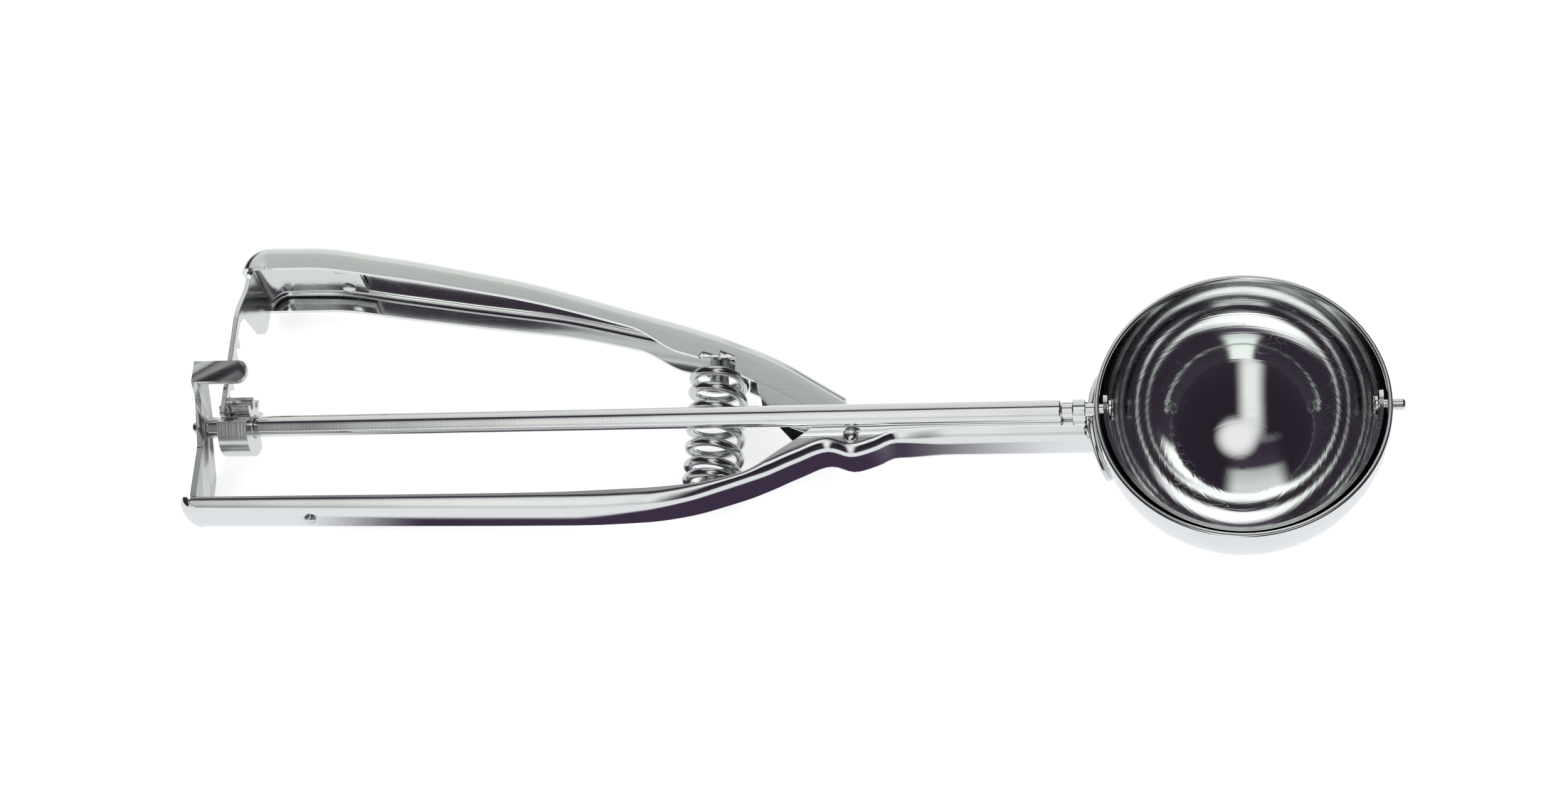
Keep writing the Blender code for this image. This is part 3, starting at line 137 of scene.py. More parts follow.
# Sizes, and the lines that the handles follow.
@dataclass(frozen=True)
class ScoopSizes:
    """Sizes that more than one sub-assembly needs, in millimetres."""

    gap: float = 0.3
    sheet: float = 1.0
    channel_corner: float = 2.2
    bowl_radius: float = 28.0
    bowl_wall: float = 1.0
    saddle_thickness: float = 1.0
    shaft_radius: float = 2.1
    front_journal: float = 1.3
    rear_journal: float = 0.7
    fixed_height: float = 10.2
    handle_end: float = -207.5
    rear_start: float = -108.0
    pivot_x: float = -75.0
    pivot_radius: float = 1.0
    pivot_head: float = 1.45
    pivot_tuck: float = 0.25
    lug_radius: float = 2.0
    channel_rise: float = 3.5
    channel_climb: float = 40.0
    moving_end: float = -199.9
    moving_curl: float = 5.6
    moving_web: float = 39.0
    rear_height: float = 18.8
    fixed_web: float = -18.7
    neck_web: float = -4.1
    neck_edge: float = 3.0
    fixed_curl: float = 2.9
    spring_x: float = -102.5
    spring_radius: float = 6.0
    spring_low: float = -11.5
    spring_high: float = 14.8
    bracket: float = 1.2
    bracket_inset: float = 2.8
    bracket_foot: float = 26.0
    bracket_rivet_inset: float = 2.6
    bracket_rivet_lift: float = 1.2
    rack_foot: float = 21.0
    rack_rivet_inset: float = 3.9
    rivet_radius: float = 0.8
    bush_length: float = 2.6
    pin_radius: float = 1.1
    module: float = 1.0
    pinion_addendum: float = 0.9
    dedendum: float = 1.15
    backlash: float = 0.3
    pressure_angle: float = 25.0
    rack_back: float = 1.7
    blade_dip: float = 7.6

    @property
    def neck_top(self) -> float:
        """Height of the neck's upper face, just under the shaft."""
        return -(self.shaft_radius + self.gap)

    @property
    def neck_mid(self) -> float:
        """Height of the neck's middle plane."""
        return self.neck_top - self.fixed_height / 2

    @property
    def saddle_outside(self) -> float:
        """Radius of the saddle's outer face."""
        return self.bowl_radius + self.gap + self.saddle_thickness

    @property
    def pivot_y(self) -> float:
        """Y of the rivet that the handles turn on."""
        return -(self.shaft_radius + self.pivot_head - self.pivot_tuck)

    @property
    def lug_height(self) -> float:
        """Height of the moving handle where it stands inside the neck."""
        return self.fixed_height - 2 * (self.sheet + self.gap)

    @property
    def spring_z(self) -> float:
        """Height of the spring's axis."""
        return self.neck_top - self.spring_radius - self.gap / 2

    @property
    def pinion_pitch(self) -> float:
        """Pitch radius of the ten-toothed pinion."""
        return self.module * 5

    @property
    def rack_root(self) -> float:
        """Height of the rack's tooth roots over the shaft."""
        return self.pinion_pitch + self.dedendum * self.module

    @property
    def rack_top(self) -> float:
        """Height of the rack's upper edge over the shaft."""
        return self.rack_root + self.rack_back

    @property
    def rack_bend(self) -> float:
        """Radius of the bend in the middle of the rack's strap."""
        return self.moving_curl - self.sheet - self.gap - self.sheet / 2

    @property
    def rack_x(self) -> float:
        """X of the middle of the rack's strap."""
        return self.moving_end + self.sheet + self.gap + self.sheet / 2

    @property
    def bracket_rear(self) -> float:
        """X of the rear face of the bracket."""
        return self.handle_end + self.bracket_inset

    @property
    def bracket_rivet_x(self) -> float:
        """X of the rivet in the bracket's foot."""
        return self.bracket_rear + self.bracket_foot - self.bracket_rivet_inset

    @property
    def rack_rivet_x(self) -> float:
        """X of the rivets in the rack's foot."""
        return self.rack_x + self.rack_foot - self.rack_rivet_inset


SIZES = ScoopSizes()


def on_rear(*knots: Point2) -> list[Point2]:
    """Return (share, y) knots as (x, y), the share taken along the handles' long rear part."""
    return [(SIZES.rear_start + share * (SIZES.handle_end - SIZES.rear_start), y) for share, y in knots]


def smooth(knots: Knots) -> Curve:
    """Make a smooth line through knots that never overshoots them.

    Args:
        knots: (x, height) pairs in any order.

    Returns:
        A function from x to height, level beyond both ends.
    """
    xs, ys = np.array(sorted(knots)).T
    steps = np.diff(ys) / np.diff(xs)
    slopes = np.concatenate(([steps[0]], np.zeros(len(xs) - 2), [steps[-1]]))
    for i in range(1, len(xs) - 1):
        if steps[i - 1] * steps[i] > 0.0:
            slopes[i] = 2 * steps[i - 1] * steps[i] / (steps[i - 1] + steps[i])

    def height(x: float) -> float:
        """Return the line's height at x.

        Args:
            x: Where, along X.

        Returns:
            The height there.
        """
        x = min(max(x, xs[0]), xs[-1])
        i = min(int(np.searchsorted(xs, x, side="right")) - 1, len(xs) - 2)
        width = xs[i + 1] - xs[i]
        t = (x - xs[i]) / width
        start = (1 + 2 * t) * (1 - t) ** 2 * ys[i] + t * (1 - t) ** 2 * width * slopes[i]
        end = t**2 * (3 - 2 * t) * ys[i + 1] + t**2 * (t - 1) * width * slopes[i + 1]
        return float(start + end)

    return height


def channel_mid(x: float) -> float:
    """Return the height of both handles' middle plane, which climbs towards the rear."""
    start = SIZES.pivot_x - SIZES.channel_climb
    share = max(0.0, (start - x) / (start - SIZES.handle_end))
    return SIZES.neck_mid + SIZES.channel_rise * share


def fixed_web_line() -> Curve:
    """Return Y of the fixed handle's outer web along X.

    Returns:
        The line, with the bulge that makes room for the lugs at the pivot.
    """
    s = SIZES
    bulge = s.pivot_y - s.lug_radius - 2.3 * s.gap - s.sheet
    knots = on_rear((0.22, -18.6), (0.07, -17.4), (1.0, s.fixed_web), (0.4, s.fixed_web))
    knots += [(-107.0, -16.0), (-100.0, -13.9), (-92.0, -11.0)]
    knots += [(s.pivot_x - 10.5, bulge - 1.0), (s.pivot_x - 4.5, bulge + 1.2), (s.pivot_x, bulge)]
    knots += [(s.pivot_x + 4.5, bulge + 1.2), (s.pivot_x + 8.5, s.neck_web), (0.0, s.neck_web)]
    return smooth(knots)


def moving_web_line() -> Curve:
    """Return Y of the moving handle's outer web along X.

    Returns:
        The line, level over the end that carries the rack.
    """
    knots = on_rear((0.623, 36.8), (0.462, 34.0), (0.302, 31.0), (0.151, 27.0))
    knots += [(-107.7, 22.5), (-96.0, 18.2), (-88.6, 14.5), (-82.0, 10.2), (-76.5, 6.6)]
    knots += [(SIZES.moving_end, SIZES.moving_web), (SIZES.moving_end + 14.0, SIZES.moving_web)]
    return smooth(knots)


def moving_half_line() -> Curve:
    """Return half the height of the moving handle along X.

    Returns:
        The line, tallest at the rear end.
    """
    knots = on_rear((0.623, 18.4), (0.392, 16.0), (0.231, 12.5), (0.08, 10.2))
    knots.append((-102.0, 8.6))
    knots += [(SIZES.moving_end, SIZES.rear_height), (-95.0, SIZES.lug_height)]
    knots += [(SIZES.pivot_x, SIZES.lug_height)]
    whole = smooth(knots)
    return lambda x: whole(x) / 2


# Meshes in millimetres.
def new_object(name: str, vertices: Sequence, faces: Sequence, closed: bool = True) -> bpy.types.Object:
    """Make an object in millimetres from vertices and faces.

    Args:
        name: The object's name.
        vertices: Points in the scoop's own frame.
        faces: Lists of vertex numbers.
        closed: Whether the surface is a closed solid, whose faces are turned outwards.

    Returns:
        The new object, linked to the scene.
    """
    mesh = bpy.data.meshes.new(name)
    mesh.from_pydata([tuple(v) for v in vertices], [], [list(f) for f in faces])
    if closed:
        bm = bmesh.new()
        bm.from_mesh(mesh)
        bmesh.ops.remove_doubles(bm, verts=bm.verts, dist=MERGED)
        bmesh.ops.recalc_face_normals(bm, faces=bm.faces)
        bm.to_mesh(mesh)
        bm.free()
    obj = bpy.data.objects.new(name, mesh)
    bpy.context.scene.collection.objects.link(obj)
    return obj


def grid(name: str, rows: Sequence[Sequence], flip: bool = False) -> bpy.types.Object:
    """Make an open surface through rows of points, each row as long as the next.

    Args:
        name: The object's name.
        rows: The rows of points.
        flip: Whether the faces are turned round.

    Returns:
        The open surface.
    """
    width = len(rows[0])
    faces = []
    for i in range(len(rows) - 1):
        for j in range(width - 1):
            a = i * width + j
            face = [a, a + 1, a + width + 1, a + width]
            faces.append(face[::-1] if flip else face)
    return new_object(name, [p for row in rows for p in row], faces, closed=False)


def lathe(name: str, profile: Knots, matrix: Matrix, segments: int = 96) -> bpy.types.Object:
    """Turn a profile of (radius, height) points about its axis.

    Args:
        name: The object's name.
        profile: Points from one pole to the other, or a ring whose last point is its first.
        matrix: Places the axis, which is Z before it.
        segments: Steps round the axis.

    Returns:
        The closed solid.
    """
    vertices: list[Vector] = []
    rings: list[list[int]] = []
    for radius, height in profile:
        count = 1 if radius < POLE else segments
        rings.append(list(range(len(vertices), len(vertices) + count)))
        for k in range(count):
            angle = 2 * math.pi * k / segments
            point = Vector((radius * math.cos(angle), radius * math.sin(angle), height))
            vertices.append(matrix @ point)
    faces = []
    for near, far in zip(rings[:-1], rings[1:]):
        for k in range(segments):
            face = [near[k % len(near)], near[(k + 1) % len(near)]]
            face += [far[(k + 1) % len(far)], far[k % len(far)]]
            face = list(dict.fromkeys(face))
            if len(face) > 2:
                faces.append(face)
    return new_object(name, vertices, faces)


def along_x() -> Matrix:
    """Return the matrix that lays a turned piece along the shaft, its top towards +X."""
    return Matrix.Rotation(math.radians(90.0), 4, "Y")


def quarter_turn(steps: int) -> list[float]:
    """Return the angles of a quarter turn in even steps, from zero on."""
    return [math.pi / 2 * k / steps for k in range(steps + 1)]


def peened_head(radius: float, height: float, steps: int = 8) -> list[Point2]:
    """Draw half a low domed head.

    Args:
        radius: The head's radius.
        height: How high it stands.
        steps: Pieces from its pole to its edge.

    Returns:
        (radius, height) points, the pole first.
    """
    return [(radius * math.sin(a), height * math.cos(a) ** HEAD_FULLNESS) for a in quarter_turn(steps)]


def rounded(corners: Sequence[tuple[float, float, float]], closed: bool = True, step: float = 9.0) -> list:
    """Round the corners of an outline.

    Args:
        corners: (x, y, radius) of each corner.
        closed: Whether the last corner joins the first; otherwise both ends stay as they are.
        step: Degrees turned by each piece of an arc.

    Returns:
        The outline's points.
    """
    outline = []
    count = len(corners)
    for i, (x, y, radius) in enumerate(corners):
        corner = Vector((x, y))
        if radius == 0.0 or (not closed and i in (0, count - 1)):
            outline.append(corner)
            continue
        before = (Vector(corners[i - 1][:2]) - corner).normalized()
        after = (Vector(corners[(i + 1) % count][:2]) - corner).normalized()
        half = before.angle(after) / 2
        centre = corner + (before + after).normalized() * radius / math.sin(half)
        start = corner + before * radius / math.tan(half) - centre
        end = corner + after * radius / math.tan(half) - centre
        sweep = start.angle_signed(end)
        steps = max(2, round(abs(math.degrees(sweep)) / step))
        for k in range(steps + 1):
            outline.append(centre + Matrix.Rotation(-sweep * k / steps, 2) @ start)
    return outline


def plate(name: str, outline: Sequence, thickness: float, matrix: Matrix) -> bpy.types.Object:
    """Make a flat plate from an outline drawn in the matrix's XY plane, about its middle.

    Args:
        name: The object's name.
        outline: The outline's points.
        thickness: The plate's thickness.
        matrix: Places the plate.

    Returns:
        The closed solid.
    """
    count = len(outline)
    vertices = [matrix @ Vector((p[0], p[1], z)) for z in (-thickness / 2, thickness / 2) for p in outline]
    faces = [list(range(count))[::-1], list(range(count, 2 * count))]
    faces += [[k, (k + 1) % count, count + (k + 1) % count, count + k] for k in range(count)]
    return new_object(name, vertices, faces)


def rod(name: str, radius: float, start: Sequence, end: Sequence, segments: int = 48) -> bpy.types.Object:
    """Make a plain cylinder between two points, used only to cut holes.

    Args:
        name: The object's name.
        radius: The cylinder's radius.
        start: The middle of one end.
        end: The middle of the other end.
        segments: Steps round the axis.

    Returns:
        The closed solid.
    """
    axis = Vector(end) - Vector(start)
    turn = Vector((0.0, 0.0, 1.0)).rotation_difference(axis).to_matrix().to_4x4()
    profile = [(0.0, 0.0), (radius, 0.0), (radius, axis.length), (0.0, axis.length)]
    return lathe(name, profile, Matrix.Translation(start) @ turn, segments)


def pivot_hole() -> bpy.types.Object:
    """Return the rod that cuts the pivot's hole through a handle."""
    s = SIZES
    low = 2 * (s.neck_top - s.fixed_height)
    return rod("hole", s.pivot_radius + s.gap / 2, (s.pivot_x, s.pivot_y, low), (s.pivot_x, s.pivot_y, 0))


def yz_plane(x: float) -> Matrix:
    """Return the matrix that stands an outline in (Y, Z) at this X."""
    return Matrix(((0, 0, 1, x), (1, 0, 0, 0), (0, 1, 0, 0), (0, 0, 0, 1)))


def xy_plane(z: float) -> Matrix:
    """Return the matrix that lays an outline in (X, Y) at this Z."""
    return Matrix.Translation((0.0, 0.0, z))


def sheet(obj: bpy.types.Object, thickness: float, offset: float) -> None:
    """Give an open surface the thickness of its sheet.

    Args:
        obj: The surface.
        thickness: How thick it gets.
        offset: -1 to grow inwards, 0 to grow both ways, 1 to grow outwards.
    """
    made = obj.modifiers.new("sheet", "SOLIDIFY")
    made.thickness = thickness
    made.offset = offset
    made.use_even_offset = True


def ease(obj: bpy.types.Object, width: float, segments: int = 3, angle: float = 40.0) -> None:
    """Round the sharp edges of an object, as tumbling does.

    Args:
        obj: The object.
        width: How wide the rounding is.
        segments: Faces across it.
        angle: The edges sharper than this many degrees are rounded.
    """
    made = obj.modifiers.new("ease", "BEVEL")
    made.width = width
    made.segments = segments
    made.limit_method = "ANGLE"
    made.angle_limit = math.radians(angle)


def cut(obj: bpy.types.Object, other: bpy.types.Object, join: bool = False) -> None:
    """Cut another object out of an object, or join it on, and drop the other once that is done.

    Args:
        obj: The object that stays.
        other: The object that goes.
        join: Whether it is joined on.
    """
    made = obj.modifiers.new("cut", "BOOLEAN")
    made.operation = "UNION" if join else "DIFFERENCE"
    made.solver = "EXACT"
    made.object = other
    settle_modifiers(obj)
    bpy.data.objects.remove(other)


def settle_modifiers(obj: bpy.types.Object) -> None:
    """Turn what an object's modifiers make into its plain mesh.

    Args:
        obj: The object, which has no modifiers afterwards.
    """
    bpy.context.view_layer.update()
    depsgraph = bpy.context.evaluated_depsgraph_get()
    mesh = bpy.data.meshes.new_from_object(obj.evaluated_get(depsgraph))
    obj.modifiers.clear()
    obj.data = mesh


# Finishes.
class NodeSheet:
    """Adds nodes to one tree and links them."""

    def __init__(self, tree: bpy.types.NodeTree) -> None:
        """Keep the tree and empty it."""
        self.tree = tree
        tree.nodes.clear()

    def add(
        self, kind: str, settings: Optional[dict] = None, inputs: Optional[dict] = None
    ) -> bpy.types.Node:
        """Add a node.

        Args:
            kind: The node's type name.
            settings: Values of its properties.
            inputs: Values or output sockets for its input sockets, by name or number.

        Returns:
            The new node.
        """
        node = self.tree.nodes.new(kind)
        for key, value in (settings or {}).items():
            setattr(node, key, value)
        for key, value in (inputs or {}).items():
            if isinstance(value, bpy.types.NodeSocket):
                self.tree.links.new(value, node.inputs[key])
            else:
                node.inputs[key].default_value = value
        return node

    def maths(self, operation: str, *values: object) -> bpy.types.NodeSocket:
        """Add a Math node on values or sockets and return its output."""
        node = self.add("ShaderNodeMath", {"operation": operation}, dict(enumerate(values)))
        return node.outputs[0]

    def noise(
        self, place: bpy.types.NodeSocket, scale: float, detail: float, roughness: float = 0.5
    ) -> bpy.types.NodeSocket:
        """Add a noise and return its value."""
        inputs = {"Vector": place, "Scale": scale, "Detail": detail, "Roughness": roughness}
        return self.add("ShaderNodeTexNoise", inputs=inputs).outputs[0]

    def fade(self, value: bpy.types.NodeSocket, low: float, high: float) -> bpy.types.NodeSocket:
        """Add a smooth step.

        Args:
            value: What it steps on.
            low: The value up to which it is zero.
            high: The value from which it is one.

        Returns:
            The socket of the step.
        """
        step = self.add(
            "ShaderNodeMapRange",
            {"interpolation_type": "SMOOTHSTEP"},
            {"Value": value, "From Min": low, "From Max": high},
        )
        return step.outputs["Result"]

    def blend(self, share: object, first: object, second: object) -> bpy.types.NodeSocket:
        """Return a value between two, the first where the share is zero."""
        inputs = {"Factor": share, "A": first, "B": second}
        return self.add("ShaderNodeMix", inputs=inputs).outputs["Result"]

    def mix(self, share: object, first: object, second: object) -> bpy.types.NodeSocket:
        """Add a mix of two colours.

        Args:
            share: How much there is of the second one, a value or a socket.
            first: The first colour, with its alpha, or a socket.
            second: The second one.

        Returns:
            The socket of the mixed colour.
        """
        mixed = self.add("ShaderNodeMix", {"data_type": "RGBA"}, {"Factor": share})
        for label, value in (("A", first), ("B", second)):
            socket = next(s for s in mixed.inputs if s.name == label and s.type == "RGBA")
            if isinstance(value, bpy.types.NodeSocket):
                self.tree.links.new(value, socket)
            else:
                socket.default_value = value
        return next(s for s in mixed.outputs if s.type == "RGBA")

    def ramp(self, value: bpy.types.NodeSocket, stops: Sequence[Stop], whole: float) -> bpy.types.NodeSocket:
        """Add a colour ramp.

        Args:
            value: What it runs on, from zero to one.
            stops: Its stops, each with an angle in degrees and a colour.
            whole: The angle that stands for one.

        Returns:
            The socket of its colour.
        """
        made = self.add("ShaderNodeValToRGB", inputs={"Fac": value})
        elements = made.color_ramp.elements
        while len(elements) < len(stops):
            elements.new(0.5)
        for element, (angle, colour) in zip(elements, stops):
            element.position = angle / whole
            element.color = (*colour, 1.0)
        return made.outputs["Color"]


@dataclass(frozen=True)
class Skin:
    """The marks that every finish has: scales in cells per metre, heights in metres."""

    cloud_scale: float = 95.0
    darkest: float = 0.94
    lightest: float = 1.04
    swell_scale: float = 42.0
    swell_height: float = 0.004
    line_height: float = 0.0002
    line_roughness: float = 0.35
    scratch_roughness: float = 0.10
    scratch_depth: float = -0.5
    scratch_scale: float = 700.0
    scratch_stretch: Triple = (0.06, 1.0, 1.0)
    scratch_width: float = 0.004
    scratch_turns: tuple[Point2, ...] = ((0.5, 1.3), (-0.9, 7.1))
    scratch_tilt: float = 0.4
    patch_scale: float = 130.0
    patch_edge: float = 0.56


SKIN = Skin()
GRAIN_SCALE = {Grain.RINGS: 1500.0, Grain.TURNED: 2600.0, Grain.LENGTHWISE: 2400.0, Grain.PRESSED: 1100.0}
GRAIN_STRETCH = {Grain.TURNED: (1.0, 0.02, 0.02), Grain.LENGTHWISE: (0.03, 1.0, 1.0)}


@dataclass(frozen=True)
class Steel:
    """One finish of stainless steel."""

    name: str
    slot: str
    colour: Colour
    roughness: float
    grain: Grain
    grain_depth: float = 0.05
    wave: float = 0.05
    blotch: float = 0.35

    def material(self) -> bpy.types.Material:
        """Build the node material of this finish.

        Returns:
            The material, made once and shared by the pieces that have it.
        """
        found = bpy.data.materials.get(self.name)
        if found is not None:
            return found
        material = bpy.data.materials.new(self.name)
        material.use_nodes = True
        nodes = NodeSheet(material.node_tree)
        local = self.own_place(nodes)
        lines, scratches = self.polish_lines(nodes, local), self.scratches(nodes, local)
        cloud = nodes.noise(local, SKIN.cloud_scale, 4.0, 0.6)
        swell = nodes.noise(local, SKIN.swell_scale, 1.5, 0.4)
        least = self.roughness * (1 - self.blotch)
        rough = nodes.maths("MULTIPLY_ADD", cloud, self.roughness * self.blotch * 2, least)
        rough = nodes.maths("MULTIPLY_ADD", lines, self.roughness * SKIN.line_roughness, rough)
        rough = nodes.maths("MULTIPLY_ADD", scratches, SKIN.scratch_roughness, rough)
        dark = (*(c * SKIN.darkest for c in self.colour), 1.0)
        light = (*(min(1.0, c * SKIN.lightest) for c in self.colour), 1.0)
        tint = nodes.mix(cloud, dark, light)
        wavy = nodes.add(
            "ShaderNodeBump",
            inputs={"Strength": self.wave, "Distance": SKIN.swell_height, "Height": swell},
        )
        height = nodes.maths("MULTIPLY_ADD", scratches, SKIN.scratch_depth, lines)
        bump = nodes.add(
            "ShaderNodeBump",
            inputs={
                "Strength": self.grain_depth,
                "Distance": SKIN.line_height,
                "Height": height,
                "Normal": wavy.outputs[0],
            },
        )
        shader = nodes.add(
            "ShaderNodeBsdfPrincipled",
            inputs={"Metallic": 1.0, "Base Color": tint, "Roughness": rough, "Normal": bump.outputs[0]},
        )
        nodes.add("ShaderNodeOutputMaterial", inputs={"Surface": shader.outputs[0]})
        return material

    def own_place(self, nodes: NodeSheet) -> bpy.types.NodeSocket:
        """Turn and move the Object coordinates into the scoop's own frame.

        Args:
            nodes: Where the nodes go.

        Returns:
            The socket of each point's place, in metres.
        """
        place = nodes.add("ShaderNodeTexCoord").outputs["Object"]
        mapping = nodes.add(
            "ShaderNodeMapping",
            {"vector_type": "TEXTURE"},
            {"Vector": place, "Location": LAY.origin, "Rotation": LAY.turn.to_euler()},
        )
        return mapping.outputs[0]

    def polish_lines(self, nodes: NodeSheet, local: bpy.types.NodeSocket) -> bpy.types.NodeSocket:
        """Lay the polishing lines as the grain says.

        Args:
            nodes: Where the nodes go.
            local: Each point's place in the scoop's own frame.

        Returns:
            The socket of the lines' height, a value about a half.
        """
        place = local
        if self.grain is Grain.RINGS:
            x, y, z = nodes.add("ShaderNodeSeparateXYZ", inputs={"Vector": local}).outputs
            squares = [nodes.maths("MULTIPLY", part, part) for part in (x, y)]
            flat = nodes.maths("SQRT", nodes.maths("ADD", *squares))
            place = nodes.add("ShaderNodeCombineXYZ", inputs={"X": flat, "Y": z, "Z": 0.0}).outputs[0]
        elif self.grain in GRAIN_STRETCH:
            stretch = {"Vector": local, "Scale": GRAIN_STRETCH[self.grain]}
            place = nodes.add("ShaderNodeMapping", inputs=stretch).outputs[0]
        return nodes.noise(place, GRAIN_SCALE[self.grain], 2.0, 0.55)

    def scratches(self, nodes: NodeSheet, local: bpy.types.NodeSocket) -> bpy.types.NodeSocket:
        """Draw sparse hair scratches, in patches.

        Args:
            nodes: Where the nodes go.
            local: Each point's place in the scoop's own frame.

        Returns:
            A socket that is one where there is a scratch and zero elsewhere.
        """
        found = []
        for turn, seed in SKIN.scratch_turns:
            inputs = {
                "Vector": local,
                "Location": (seed, seed, seed),
                "Rotation": (turn, SKIN.scratch_tilt * turn, turn),
                "Scale": SKIN.scratch_stretch,
            }
            mapping = nodes.add("ShaderNodeMapping", inputs=inputs)
            noise = nodes.noise(mapping.outputs[0], SKIN.scratch_scale, 0.0)
            line = nodes.maths("ABSOLUTE", nodes.maths("SUBTRACT", noise, 0.5))
            found.append(nodes.maths("LESS_THAN", line, SKIN.scratch_width))
        patch = nodes.noise(local, SKIN.patch_scale, 1.0)
        shown = nodes.maths("GREATER_THAN", patch, SKIN.patch_edge)
        return nodes.maths("MULTIPLY", shown, nodes.maths("MAXIMUM", *found))


class Finishes:
    """The finishes of the scoop."""

    bowl = Steel("spun_bowl_steel", "bowl_steel", (0.80, 0.82, 0.81), 0.055, Grain.RINGS, 0.05, 0.03)
    saddle = Steel("pressed_saddle_steel", "saddle_steel", (0.74, 0.76, 0.75), 0.11, Grain.PRESSED)
    bush = Steel("turned_bush_steel", "bush_steel", (0.78, 0.80, 0.78), 0.08, Grain.TURNED)
    fixed = Steel(
        "fixed_handle_polish", "fixed_handle_steel", (0.80, 0.82, 0.81), 0.08, Grain.LENGTHWISE, 0.012, 0.03
    )
    bracket = Steel(
        "cut_bracket_steel", "bracket_steel", (0.66, 0.68, 0.66), 0.27, Grain.LENGTHWISE, 0.05, 0.01
    )
    pivot = Steel("peened_pivot_steel", "pivot_steel", (0.74, 0.75, 0.74), 0.15, Grain.PRESSED, 0.08)
    spring = Steel("drawn_spring_wire", "spring_steel", (0.66, 0.68, 0.66), 0.13, Grain.PRESSED, 0.06)
    moving = Steel(
        "moving_handle_polish", "moving_handle_steel", (0.81, 0.83, 0.81), 0.10, Grain.LENGTHWISE, 0.012, 0.02
    )
    rack = Steel("cut_rack_steel", "rack_steel", (0.72, 0.74, 0.72), 0.14, Grain.PRESSED, 0.08)
    shaft = Steel("drawn_shaft_steel", "shaft_steel", (0.79, 0.80, 0.79), 0.07, Grain.TURNED, 0.02)
    pinion = Steel("cut_pinion_steel", "pinion_steel", (0.70, 0.71, 0.70), 0.15, Grain.TURNED, 0.09)
    blade = Steel("polished_blade_steel", "blade_steel", (0.80, 0.82, 0.81), 0.07, Grain.RINGS)
    pin = Steel("turned_pin_steel", "front_pin_steel", (0.76, 0.78, 0.76), 0.12, Grain.TURNED)
    rivet = Steel("peened_rivet_steel", "rivet_steel", (0.73, 0.74, 0.73), 0.18, Grain.PRESSED, 0.08)
    post = Steel("drawn_post_steel", "post_steel", (0.64, 0.66, 0.64), 0.2, Grain.PRESSED, 0.08)


def hand_in(obj: bpy.types.Object, finish: Steel, body: Optional[Body], *nodes: str) -> bpy.types.Object:
    """Finish a piece: plain mesh, its place in metres, shading, material and the frame's calls.

    Args:
        obj: The piece, in millimetres in the scoop's own frame.
        finish: What it is made of.
        body: The body it rides on, or None for a piece that rides on no body.
        nodes: The frame's nodes that it stands for.

    Returns:
        The finished piece.
    """
    even = obj.modifiers.new("even", "WEIGHTED_NORMAL")
    even.keep_sharp = True
    obj.data.shade_smooth()
    settle_modifiers(obj)
    mesh = obj.data
    mesh.transform(LAY.matrix)
    mesh.materials.clear()
    mesh.materials.append(finish.material())
    mesh.polygons.foreach_set("material_index", [0] * len(mesh.polygons))
    mesh.update()
    if body is not None:
        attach(obj, body.value)
    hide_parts(*nodes)
    LOG.info("%s: %d faces for %s", obj.name, len(mesh.polygons), ", ".join(nodes))
    return obj


# Geometry Nodes, for the wound wire and the rivets.
class GroupBuilder(NodeSheet):
    """A Geometry Nodes tree with named inputs."""

    def __init__(self, name: str, inputs: dict[str, str]) -> None:
        """Make the tree.

        Args:
            name: The tree's name.
            inputs: Each input's name and socket type, after the geometry.
        """
        tree = bpy.data.node_groups.new(name, "GeometryNodeTree")
        super().__init__(tree)
        tree.interface.new_socket("Geometry", in_out="INPUT", socket_type="NodeSocketGeometry")
        self.ids = {}
        for label, kind in inputs.items():
            item = tree.interface.new_socket(label, in_out="INPUT", socket_type=kind)
            self.ids[label] = item.identifier
        tree.interface.new_socket("Geometry", in_out="OUTPUT", socket_type="NodeSocketGeometry")
        self.given = self.add("NodeGroupInput").outputs

    def end(self, geometry: bpy.types.NodeSocket) -> None:
        """Realize the geometry, set its material and send it out.

        Args:
            geometry: What the tree has made.
        """
        real = self.add("GeometryNodeRealizeInstances", inputs={"Geometry": geometry})
        dressed = self.add(
            "GeometryNodeSetMaterial",
            inputs={"Geometry": real.outputs[0], "Material": self.given["Material"]},
        )
        self.add("NodeGroupOutput", inputs={0: dressed.outputs[0]})

    def apply(self, obj: bpy.types.Object, values: dict[str, object]) -> None:
        """Run the tree on an object with these inputs and keep the result as a plain mesh.

        Args:
            obj: The object.
            values: The inputs by name.
        """
        modifier = obj.modifiers.new(self.tree.name, "NODES")
        modifier.node_group = self.tree
        for label, value in values.items():
            modifier[self.ids[label]] = value
        settle_modifiers(obj)


